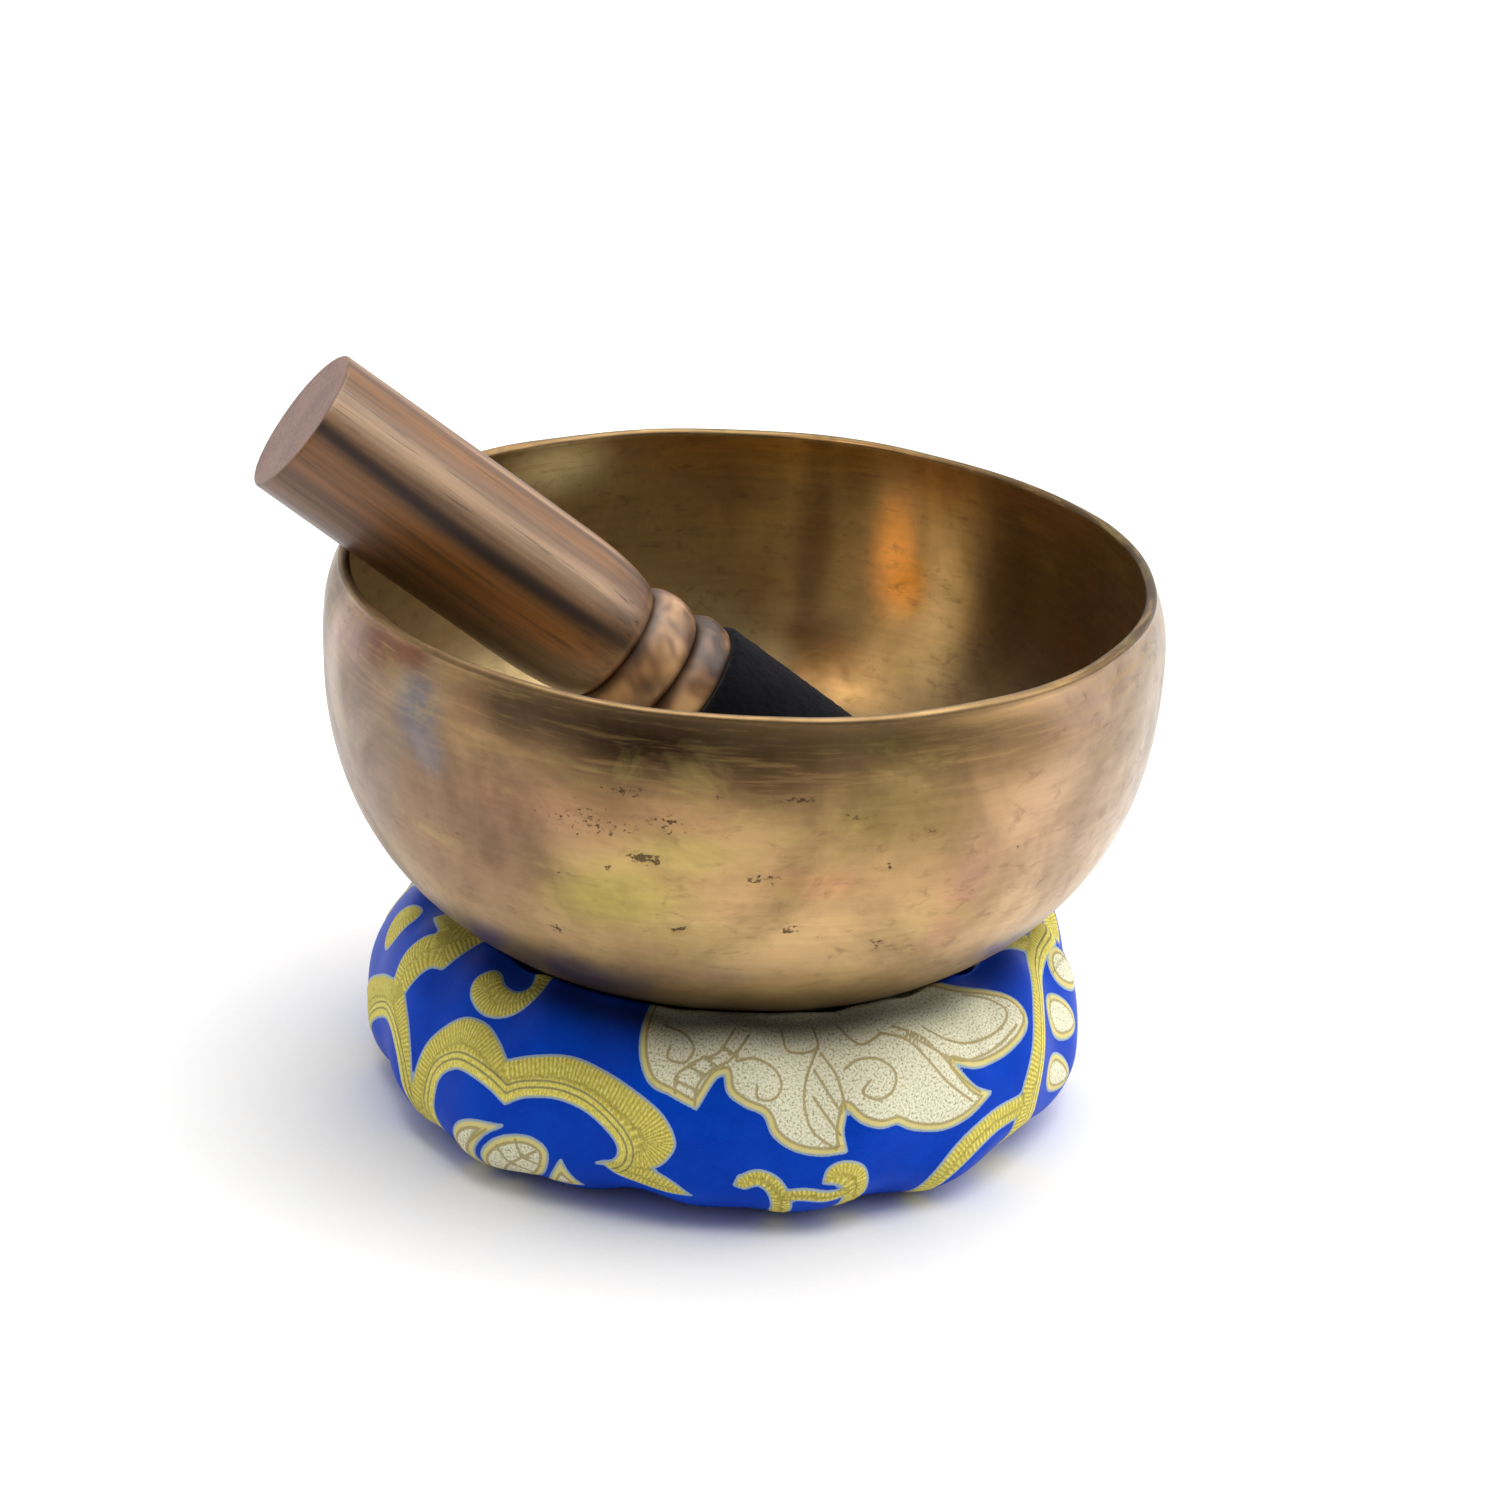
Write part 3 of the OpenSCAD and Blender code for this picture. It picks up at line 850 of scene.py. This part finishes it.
RIGHT_BAND = [
    [(-40, 10), (-37.5, 20), (-36.6, 26), (-35, 31), (-31, 37), (-26, 42), (-19, 47), (-11, 49.5),
    (-5, 49.2), (-1, 46.5)], [(-1, 46.5), (-5, 43.9), (-12, 44), (-20, 40.5), (-26, 35), (-29.5, 29.5),
    (-30.5, 23), (-30, 10)]]
TOP_STRIP = ribbon([(-38, 57.5), (-29, 56.5), (-21, 54), (-13, 50)], 3.6, 5)
LEFT_OVAL = oval(-171, 42, 13, 8, 55)
GOLD_SHAPES = [
    TREFOIL_OUTER + TREFOIL_INNER, TREFOIL_LEAF, LEFT_BAND, HOOK, CURL, CURL_LINK, CURL_TWIN, RIGHT_ARC,
    RIGHT_BAND, TOP_STRIP, LEFT_OVAL]
INNER_EDGES = TREFOIL_INNER + LEFT_BAND[6:] + RIGHT_BAND[1:]

FLOWER = [
    [(-104, 58), (-104.3, 50), (-103.3, 44), (-101, 39.5), (-97.5, 37.8), (-93.5, 35.7)], [(-93.5, 35.7),
    (-92.3, 38.5), (-90.8, 41.5), (-89.3, 42.3)], [(-89.3, 42.3), (-88.6, 39), (-86, 36.8), (-83, 35.2),
    (-81.5, 31.5), (-78.5, 28.8), (-74.5, 27.6), (-70.3, 27.8)], [(-70.3, 27.8), (-70.8, 31.5),
    (-70, 35.5)], [(-70, 35.5), (-68, 33), (-65, 31.5), (-62, 31.6)], [(-62, 31.6), (-58.5, 29.4),
    (-53.5, 28), (-48.5, 28.8), (-43, 31.4)], [(-43, 31.4), (-46, 33.5), (-48.2, 36.5), (-49.7, 39.2)],
    [(-49.7, 39.2), (-45, 36.9), (-39, 36.8), (-32.5, 38.8), (-30.2, 41.5), (-31, 46), (-35, 49.5),
    (-42, 52.5), (-48, 58)]]
LEAF = [
    [(-134.5, 8), (-134.3, 17), (-133, 21.5), (-129.5, 24.3), (-124, 25.4)], [(-124, 25.4), (-127.5, 22),
    (-130, 17), (-130.5, 8)]]
ROUND_LEAF = [
    [(-129.5, 14), (-127.5, 19.5), (-124, 23.2), (-119.5, 24.6), (-116.4, 22.8), (-117, 18.5), (-120, 14),
    (-125, 11), (-129.5, 14)]]
LEAF_TIP = [[(-117.5, 14), (-114, 21.8)], [(-114, 21.8), (-111.5, 14)]]
CREAM_SHAPES = [
    FLOWER, LEAF, ROUND_LEAF, LEAF_TIP, oval(-16, 33.5, 14, 8.5, -35), oval(-21, 24.5, 13, 7, -30),
    oval(-8, 39, 12, 7.5, -50), oval(-176, 13, 9, 6, 20)]

VEINS = [
    [(-69.5, 42.5), (-67, 43.8), (-63.5, 43.2), (-61.3, 40.5), (-62.2, 37.5), (-65, 36.4), (-67.3, 38),
    (-65.8, 39.8)], [(-87.5, 44.5), (-84.5, 45), (-81.3, 43.3), (-80.2, 40.5), (-81.5, 38), (-84, 38.2),
    (-84.2, 40.5)], [(-100.5, 50.5), (-97, 49.5), (-94.8, 46.8), (-96, 44), (-98.8, 44.2), (-98.8, 46.6)],
    [(-73.5, 47), (-75.8, 42), (-76.6, 37), (-75.5, 32), (-72, 28.5)], [(-73, 46), (-71, 41.5),
    (-70.2, 35.5)], [(-75, 38), (-73, 34), (-71.3, 31)], [(-74.5, 43), (-72.6, 38.5), (-71, 35)],
    [(-62, 48), (-57.5, 45.5), (-55, 41.5), (-52, 36.5), (-47.5, 31.5)], [(-59, 48.5), (-54.5, 45.5),
    (-52, 41.5), (-49, 36.5), (-45.5, 32.5)], [(-57, 46.5), (-52, 41.8), (-47.5, 39), (-41, 38.6),
    (-34, 40.5)], [(-53, 47), (-49, 43.5), (-44, 41.4), (-38, 41.4), (-34, 43.5), (-35.5, 47.3),
    (-41, 50)], [(-97, 38.3), (-97, 41.5), (-94, 44.5), (-90.5, 46), (-88, 50)], [(-93.8, 36.3),
    (-93.6, 40), (-91.5, 43), (-88.5, 44.8), (-85.5, 49)], [(-97, 40.5), (-93.5, 39)], [(-95.5, 43.5),
    (-92.3, 41.8)], [(-92.8, 45.2), (-90.3, 43.2)], [(-90, 46.8), (-87.5, 45.4)], [(-79.5, 50.5),
    (-78.5, 46.5), (-73.5, 47), (-73.5, 51)], [(-69, 51), (-66, 46.5), (-61.5, 47.8)], [(-126.5, 13),
    (-123, 18), (-118, 22.5)], [(-123, 18), (-124.5, 21.5)], [(-120.5, 20.5), (-121.5, 23.5)],
    [(-123, 18), (-119.5, 16.5)], [(-120.5, 20.5), (-117.5, 19.5)], [(-132.5, 14), (-130.5, 19.5),
    (-126.5, 23.8)]]


def rows_near(points, line, reach):
    """Which points lie in the box round a line, widened by reach."""
    return np.nonzero(np.all((points > line.min(0) - reach) & (points < line.max(0) + reach), axis=1))[0]


def nearest(points, lines, reach):
    """For each point: distance to the lines, at most reach, which side of them it is on, and how far
    along them."""
    best = np.full(len(points), reach)
    side, place = np.ones(len(points)), np.zeros(len(points))
    start = 0.0
    for line in lines:
        close = rows_near(points, line, reach)
        for a, b in zip(line, line[1:]):
            edge = b - a
            size = math.hypot(*edge) + 1e-12
            t = np.clip(((points[close] - a) @ edge) / size**2, 0, 1)
            gap = points[close] - a - t[:, None] * edge
            distance = np.hypot(gap[:, 0], gap[:, 1])
            closer = distance < best[close]
            rows = close[closer]
            best[rows] = distance[closer]
            side[rows] = np.sign(edge[0] * gap[closer, 1] - edge[1] * gap[closer, 0])
            place[rows] = start + t[closer] * size
            start += size
    return best, side, place


def inside(points, outline):
    """Whether each point lies within a closed outline."""
    x, y = points.T
    result = np.zeros(len(points), bool)
    for (ax, ay), (bx, by) in zip(outline, np.roll(outline, -1, 0)):
        if ay != by:
            result ^= ((ay > y) != (by > y)) & (x < (bx - ax) * (y - ay) / (by - ay) + ax)
    return result


def shape_depth(points, shapes):
    """Depth inside the nearest or deepest shape, negative outside it, and the place along its outline."""
    reach = 3 * MM
    depth, place = np.full(len(points), -reach), np.zeros(len(points))
    for shape in shapes:
        drawn = np.concatenate([smooth(run) for run in shape])
        for shift in (-TILE, 0, TILE):
            outline = on_cloth(drawn + (shift, 0))
            close = rows_near(points, outline, reach)
            if not len(close):
                continue
            closed = np.concatenate([outline, outline[:1]])
            distance, _, along = nearest(points[close], [closed], 8 * MM)
            signed = np.where(inside(points[close], outline), distance, -distance)
            deeper = signed > depth[close]
            depth[close[deeper]], place[close[deeper]] = signed[deeper], along[deeper]
    return depth, place


def brocade_pattern(around, along):
    """The pattern's fields on the cover's grid. Gold is the depth in a gold figure, the place along its
    outline and the distance to its inner edge. Cream is the depth in a pale figure, and the signed and
    plain distances to a vein."""
    columns = len(around) * TILE // 360
    turn = on_cloth(np.stack([np.linspace(-TILE, 0, columns, endpoint=False), np.zeros(columns)], 1))[:, 0]
    rows = np.where(along < FOLD * MM, along, 2 * FOLD * MM - along)
    points = np.stack(np.meshgrid(turn, rows), -1).reshape(-1, 2)
    shape = (len(along), columns)

    def fields(*values):
        return np.tile(np.stack([v.reshape(shape) for v in values], -1), (1, 360 // TILE, 1))

    gold, gold_place = shape_depth(points, GOLD_SHAPES)
    cream, _ = shape_depth(points, CREAM_SHAPES)
    inner, _, _ = nearest(points, [on_cloth(smooth(run)) for run in INNER_EDGES], 12 * MM)
    away, side, _ = nearest(points, [on_cloth(smooth(run)) for run in VEINS], 3 * MM)
    return fields(gold, gold_place, inner), fields(cream, away * side, away)


def sew_down(cloth, points):
    """Holds the cloth's points in the wall of the hole and on the table while it settles."""
    radius, height = np.hypot(points[..., 0], points[..., 1]), points[..., 2]
    sewn = (np.abs(height - GIRTH_Z) < 2 * MM) & (radius < HOLE_R + 4 * MM)
    foot = height < 1.2 * MM
    held = cloth.vertex_groups.new(name="held")
    held.add(np.nonzero((sewn | foot).ravel())[0].tolist(), 1.0, "REPLACE")
    return held


def let_settle(cloth, held):
    """Runs the cloth simulation under pressure, and returns where its points end up."""
    modifier = cloth.modifiers.new("cloth", "CLOTH")
    modifier.settings.use_pressure = True
    modifier.settings.uniform_pressure_force = 4
    modifier.settings.vertex_group_mass = held.name
    modifier.settings.effector_weights.gravity = 0
    modifier.settings.quality = 6
    modifier.settings.mass = 0.15
    modifier.point_cache.frame_end = SETTLE_FRAMES
    for frame_number in range(1, SETTLE_FRAMES + 1):
        bpy.context.scene.frame_set(frame_number)
    settled = cloth.evaluated_get(bpy.context.evaluated_depsgraph_get()).to_mesh()
    moved = np.zeros(len(settled.vertices) * 3)
    settled.vertices.foreach_get("co", moved)
    bpy.context.scene.frame_set(1)
    return moved


def settle(section):
    """Lets a coarse copy of the cover settle as cloth, with its gathers sewn down at the hole, and returns
    how far each point ends up from the even ring, along the section's normal."""
    rows, turns = 58, 180
    even = resample(np.concatenate([section, section[:1]]), rows + 1)[:-1]
    around = angles(turns)
    along = lengths(even)[:, None]
    hole = bell(along, along[-1] * 0.78, 14 * MM)
    gathers = hole * np.cos(SEAM_STITCHES * around)[None, :] * 0.7 * MM
    slack = waves(around[None, :], along, 31, 40, (3, 22), (25 * MM, 70 * MM)) * 0.5 * MM
    start = turned(even, turns, gathers + slack - 0.8 * MM, closed=True)
    mesh = bpy.data.meshes.new("cloth")
    mesh.from_pydata(start.reshape(-1, 3).tolist(), [], grid_faces(rows, turns, closed=True))
    cloth = add_object("cloth", mesh)
    moved = let_settle(cloth, sew_down(cloth, start))
    bpy.data.objects.remove(cloth)
    shift = moved.reshape(rows, turns, 3) - turned(even, turns)
    normal = profile_normals(even, closed=True)
    outward = shift[..., 0] * np.cos(around) + shift[..., 1] * np.sin(around)
    push = outward * normal[:, :1] + shift[..., 2] * normal[:, 1:]
    push -= push.mean(1, keepdims=True)
    return np.clip(push, -SETTLE_CAP, SETTLE_CAP)


def finer(coarse, rows, turns):
    """A closed coarse grid of values brought smoothly to a finer one."""
    def stretch(values, count):
        at = np.arange(count) * len(values) / count
        low = at.astype(int)
        t = (at - low)[:, None]
        return between(*(values[(low + i) % len(values)] for i in (-1, 0, 1, 2)), t)

    return stretch(stretch(coarse, rows).T, turns).T


def cover_push(section, around, along):
    """How far the cover stands off its even section: folds, gathers, and low bulges with their place round
    the ring in degrees, height in mm and half width in degrees."""
    grid_around, grid_along = around[None, :], along[:, None]
    push = waves(grid_around, grid_along, 41, 30, (3, 14), (40 * MM, 90 * MM)) * 0.15 * MM
    push = push + finer(settle(section), len(section), len(around))
    low = bell(grid_along, 14 * MM, 16 * MM)
    for place, height, width in [(-178, 0.9, 12), (-157, -0.5, 12), (-133, 2.0, 12), (-101, -1.0, 14),
                                 (-58, 0.6, 14), (-25, -0.5, 20)]:
        push = push + low * bell(turn_gap(grid_around, place), 0, width) * height * MM
    return push


def fit_under_bowl(points, gap):
    """Keeps points below the bowl's underside and above the floor."""
    radius = np.hypot(points[..., 0], points[..., 1])
    points[..., 2] = np.clip(points[..., 2], 0, underside(radius) - gap)
    return points


def build_cover(material):
    section = ring_section(0, RING_ROWS)
    around = angles(RING_TURNS)
    along = lengths(section)
    gold, cream = brocade_pattern(around, along)
    even = cover_push(section, around, along)
    relief = np.clip(np.maximum(gold[..., 0], cream[..., 0]) / (0.7 * MM), 0, 1)
    relief = relief**2 * (3 - 2 * relief) * RELIEF
    outer = fit_under_bowl(turned(section, RING_TURNS, even + relief, closed=True), GAP)
    inner_rows, inner_turns = RING_ROWS // 4, RING_TURNS // 4
    inner_section = ring_section(CLOTH, inner_rows)
    inner = turned(inner_section, inner_turns, finer(even, inner_rows, inner_turns), closed=True)
    inner = fit_under_bowl(inner, GAP + CLOTH)
    inner[..., 2] = np.maximum(inner[..., 2], CLOTH / 2)
    count = RING_ROWS * RING_TURNS
    lining = [[count + corner for corner in face[::-1]]
              for face in grid_faces(inner_rows, inner_turns, closed=True)]
    faces = grid_faces(RING_ROWS, RING_TURNS, closed=True) + lining
    points = np.concatenate([outer.reshape(-1, 3), inner.reshape(-1, 3)])
    cover = new_piece("brocade_cover", points, faces, "cushion", ["cushion_cover"], material)

    turn = (around + math.pi) % (2 * math.pi) - math.pi
    cloth = np.stack(np.broadcast_arrays(turn[None, :] * RING_R, along[:, None], 0.0), -1)
    lining_values = np.full((inner_rows * inner_turns, 3), -0.05)
    for name, values in (("cloth", cloth), ("gold", gold), ("cream", cream)):
        store(cover, name, np.concatenate([values.reshape(-1, 3), lining_values]))
    # Painted contact shadow in a band where the bowl sits on the cover, strongest at the front.
    painted_contact_shadow = bell(along, 51.5 * MM, 4.2 * MM)
    front = 0.45 + 0.45 * bell(turn_gap(around, -86), 0, 52)
    store(cover, "painted_contact_shadow", np.concatenate([(painted_contact_shadow[:, None] * front).ravel(), np.zeros(len(lining_values))]))
    return outer, even


def satin_colour(recipe, cloth, satin):
    wide = recipe.noise(cloth, 90, 3, 0.6)
    blue = recipe.blend(satin, rgb(0, 46, 158), rgb(0, 70, 202))
    return recipe.blend(recipe.fit(wide, 0.35, 0.7, 0.0, 0.4), blue, rgb(0, 78, 210))


def gold_colour(recipe, threads, rib, from_inner):
    """Gold thread, ribbed across the outer part of a figure, with two lines along its inner edge."""
    colour = recipe.ramp(threads, [(0.25, rgb(184, 164, 62)), (0.45, rgb(226, 210, 96)),
                                   (0.6, rgb(242, 230, 124)), (0.78, rgb(248, 242, 186))])
    ribbed = recipe.times(recipe.fit(rib, -1, 1, 0.0, 0.45),
                          recipe.fit(from_inner, 2.8 * MM, 3.6 * MM))
    colour = recipe.blend(ribbed, colour, rgb(132, 112, 44))
    lines = [recipe.unsigned(recipe.minus(from_inner, distance)) for distance in (1.6 * MM, 2.8 * MM)]
    line = recipe.fit(recipe.maths("MINIMUM", *lines), 0.1 * MM, 0.3 * MM, 0.75, 0.0)
    return recipe.blend(line, colour, rgb(120, 118, 98))


def cream_colour(recipe, cloth, cream, drawn):
    """Stippled cream thread with a yellow border and drawn lines."""
    stipple = recipe.noise(recipe.stretch(cloth, (2100, 2100, 1)), 1, 2, 0.7)
    colour = recipe.ramp(stipple, [(0.3, rgb(146, 140, 104)), (0.41, rgb(206, 200, 160)),
                                   (0.5, rgb(236, 232, 202)), (0.7, rgb(248, 246, 228))])
    border = recipe.fit(cream, 0.9 * MM, 1.3 * MM, 1.0, 0.0)
    colour = recipe.blend(border, colour, rgb(226, 212, 140))
    return recipe.blend(drawn, colour, rgb(166, 146, 84))


def brocade():
    recipe = Recipe("blue_brocade")
    cloth = recipe.read_vector("cloth")
    gold_parts, cream_parts = (recipe.node("ShaderNodeSeparateXYZ", {0: recipe.read_vector(name)}).outputs
                               for name in ("gold", "cream"))
    ragged = recipe.maths("MULTIPLY_ADD", recipe.noise(cloth, 2500, 1, 0.5), 0.24 * MM, -0.12 * MM)
    gold = recipe.plus(gold_parts[0], ragged)
    cream = recipe.plus(cream_parts[0], ragged)
    edge = recipe.maths("MAXIMUM", gold, cream)

    satin = recipe.noise(recipe.stretch(cloth, (900, 5200, 1)), 1, 2, 0.5)
    threads = recipe.noise(recipe.stretch(cloth, (3200, 1300, 1)), 1, 2, 0.6)
    rib = recipe.maths("SINE", recipe.times(gold_parts[1], 2 * math.pi / RIB_SPACING))
    border_line = recipe.unsigned(recipe.minus(cream, 1.2 * MM))
    vein = recipe.maths("MAXIMUM", recipe.unsigned(cream_parts[1]),
                        recipe.minus(cream_parts[2], 0.2 * MM))
    drawn = recipe.fit(recipe.maths("MINIMUM", border_line, vein), 0.16 * MM, 0.36 * MM, 0.75, 0.0)

    colour = satin_colour(recipe, cloth, satin)
    colour = recipe.blend(recipe.fit(gold, -0.08 * MM, 0.08 * MM), colour,
                          gold_colour(recipe, threads, rib, gold_parts[2]))
    colour = recipe.blend(recipe.fit(cream, -0.08 * MM, 0.08 * MM), colour,
                          cream_colour(recipe, cloth, cream, drawn))
    off_edge = recipe.unsigned(recipe.plus(edge, 0.05 * MM))
    outline = recipe.fit(off_edge, 0.17 * MM, 0.34 * MM, 0.85, 0.0)
    colour = recipe.blend(outline, colour, rgb(170, 188, 190))
    # Painted contact shadow under the bowl's edge.
    colour = recipe.blend(recipe.read("painted_contact_shadow"), colour, rgb(10, 10, 16))

    sewn = recipe.fit(edge, -0.1 * MM, 0.1 * MM)
    roughness = recipe.fit(sewn, 0, 1, 0.42, 0.6)
    relief = recipe.times(sewn, recipe.plus(threads, recipe.times(rib, 0.25)))
    relief = recipe.plus(relief, recipe.times(satin, 0.25))
    relief = recipe.minus(relief, recipe.times(drawn, recipe.fit(cream, 0, 0.4 * MM)))
    normal = recipe.bump(relief, 0.25 * MM, 0.6)
    return recipe.finish(Base_Color=colour, Roughness=roughness, Normal=normal, Specular_IOR_Level=0.06)


def build_filling(even, material):
    """Cotton wadding that fills the cover and takes its shape, a little lumpy."""
    rows, turns = RING_ROWS // 4, RING_TURNS // 4
    inset = 1.7 * CLOTH
    section = ring_section(inset, rows)
    around = angles(turns)
    along = lengths(section)[:, None]
    lumps = waves(around[None, :], along, 51, 60, (4, 24), (12 * MM, 40 * MM)) * 0.1 * MM
    push = finer(even, rows, turns) + lumps
    points = fit_under_bowl(turned(section, turns, push, closed=True), GAP + inset)
    points[..., 2] = np.maximum(points[..., 2], CLOTH)
    faces = grid_faces(rows, turns, closed=True)
    filling = new_piece("cotton_filling", points, faces, "cushion",
                        ["cushion_filling"], material)
    store(filling, "place", points)


def cotton():
    recipe = Recipe("cotton_wadding")
    place_on = recipe.read_vector("place")
    fluff = recipe.noise(place_on, 400, 5, 0.7)
    colour = recipe.blend(fluff, rgb(222, 214, 196), rgb(246, 241, 228))
    return recipe.finish(Base_Color=colour, Roughness=0.95, Normal=recipe.bump(fluff, 0.6 * MM, 0.8))


def twisted_stitch(start, end, up):
    """Two plies twisted round each other along a low arch, as (points, faces)."""
    steps, sides, ply_r = 20, 6, 0.2 * MM
    t = np.linspace(0, 1, steps + 1)
    arch = STITCH_RISE * 4 * t * (1 - t) - 0.25 * MM
    spine = start + t[:, None] * (end - start) + arch[:, None] * up
    tangent = np.gradient(spine, axis=0)
    tangent /= np.linalg.norm(tangent, axis=1, keepdims=True)
    side = np.cross(tangent, up)
    side /= np.linalg.norm(side, axis=1, keepdims=True)
    over = np.cross(side, tangent)
    points, faces = [], []
    ring = angles(sides)
    for first, ply in ((0, 0), ((steps + 1) * sides, math.pi)):
        turn = ply + 2 * math.pi * 2.5 * t
        centre = spine + ply_r * (np.cos(turn)[:, None] * side + np.sin(turn)[:, None] * over)
        loops = [c + ply_r * 1.05 * (np.cos(ring)[:, None] * s + np.sin(ring)[:, None] * o)
                 for c, s, o in zip(centre, side, over)]
        points.append(np.concatenate(loops))
        faces += [[first + corner for corner in face] for face in grid_faces(steps + 1, sides)]
        last = first + steps * sides
        faces += [[first + i for i in range(sides)][::-1], [last + i for i in range(sides)]]
    return np.concatenate(points), faces


def build_stitches(name, node, spots, material):
    """One piece made of the stitches at spots, each a (start, end, up)."""
    points, faces = [], []
    for spot in spots:
        made, made_faces = twisted_stitch(*spot)
        first = len(points) * len(made)
        faces += [[first + corner for corner in face] for face in made_faces]
        points.append(made)
    points = np.concatenate(points)
    thread = new_piece(name, points, faces, "cushion", [node], material)
    store(thread, "place", points)


def ring_seam_spots(outer):
    """Slanted stitches round the wall of the hole."""
    radius = np.hypot(outer[..., 0], outer[..., 1])
    wall = np.argmin(np.abs(outer[..., 2] - GIRTH_Z) + (radius > FOOT_IN_R) * 1.0, axis=0)
    lean = math.radians(20)
    spots = []
    for i in range(SEAM_STITCHES):
        turn = 2 * math.pi * i / SEAM_STITCHES
        column = round(i / SEAM_STITCHES * RING_TURNS)
        out = np.array([math.cos(turn), math.sin(turn), 0])
        middle = radius[wall[column], column] * out + (0, 0, GIRTH_Z)
        sideways = np.array([-out[1], out[0], 0])
        half = STITCH_HALF * (np.array([0, 0, 1]) * math.cos(lean) + sideways * math.sin(lean))
        spots.append((middle - half, middle + half, -out))
    return spots


def end_seam_spots(outer, section):
    """Stitches up the back, across the line where the ends of the cover meet."""
    column = RING_TURNS // 4
    normal = profile_normals(section, closed=True)
    low, high = (np.argmin(np.abs(section[:RING_ROWS // 2, 1] - z)) for z in (16 * MM, 36.5 * MM))
    spots = []
    for row in np.linspace(low, high, END_STITCHES).round().astype(int):
        middle = outer[row, column]
        up = np.array([0, normal[row, 0], normal[row, 1]])
        half = np.array([STITCH_HALF, 0, 0])
        spots.append((middle - half, middle + half, up))
    return spots


def gold_thread():
    recipe = Recipe("gold_sewing_thread")
    place_on = recipe.read_vector("place")
    fibres = recipe.noise(recipe.stretch(place_on, (2500, 2500, 2500)), 1, 3, 0.6)
    colour = recipe.blend(fibres, rgb(150, 120, 40), rgb(225, 196, 104))
    return recipe.finish(Base_Color=colour, Roughness=0.5, Normal=recipe.bump(fibres, 0.1 * MM, 0.5))


def build_cushion():
    outer, even = build_cover(brocade())
    build_filling(even, cotton())
    thread = gold_thread()
    build_stitches("ring_seam_thread", "ring_seam_stitches", ring_seam_spots(outer), thread)
    build_stitches("end_seam_thread", "end_seam_stitches",
                   end_seam_spots(outer, ring_section(0, RING_ROWS)), thread)


# ---------------------------------------------------------------- scene
add_camera()
add_world()
add_floor()
add_softbox("top_light", (0.15, 0.1, 1.4), (0, 0, 0.05), (1.7, 1.4), 22)
add_softbox("right_light", (1.3, 0.1, 0.9), (0, 0, 0.06), (1.0, 1.0), 6)
add_spot("warm_glow", (-0.28, -0.42, 0.62), (0.029, 0.066, 0.086), 5.5, 12, (1.0, 0.8, 0.58))
bpy.context.scene.view_settings.view_transform = "Standard"

build_bowl(bronze())
matrix = mallet_matrix()
build_stick(wood(), matrix)
build_sleeve(suede(), matrix)
build_cushion()
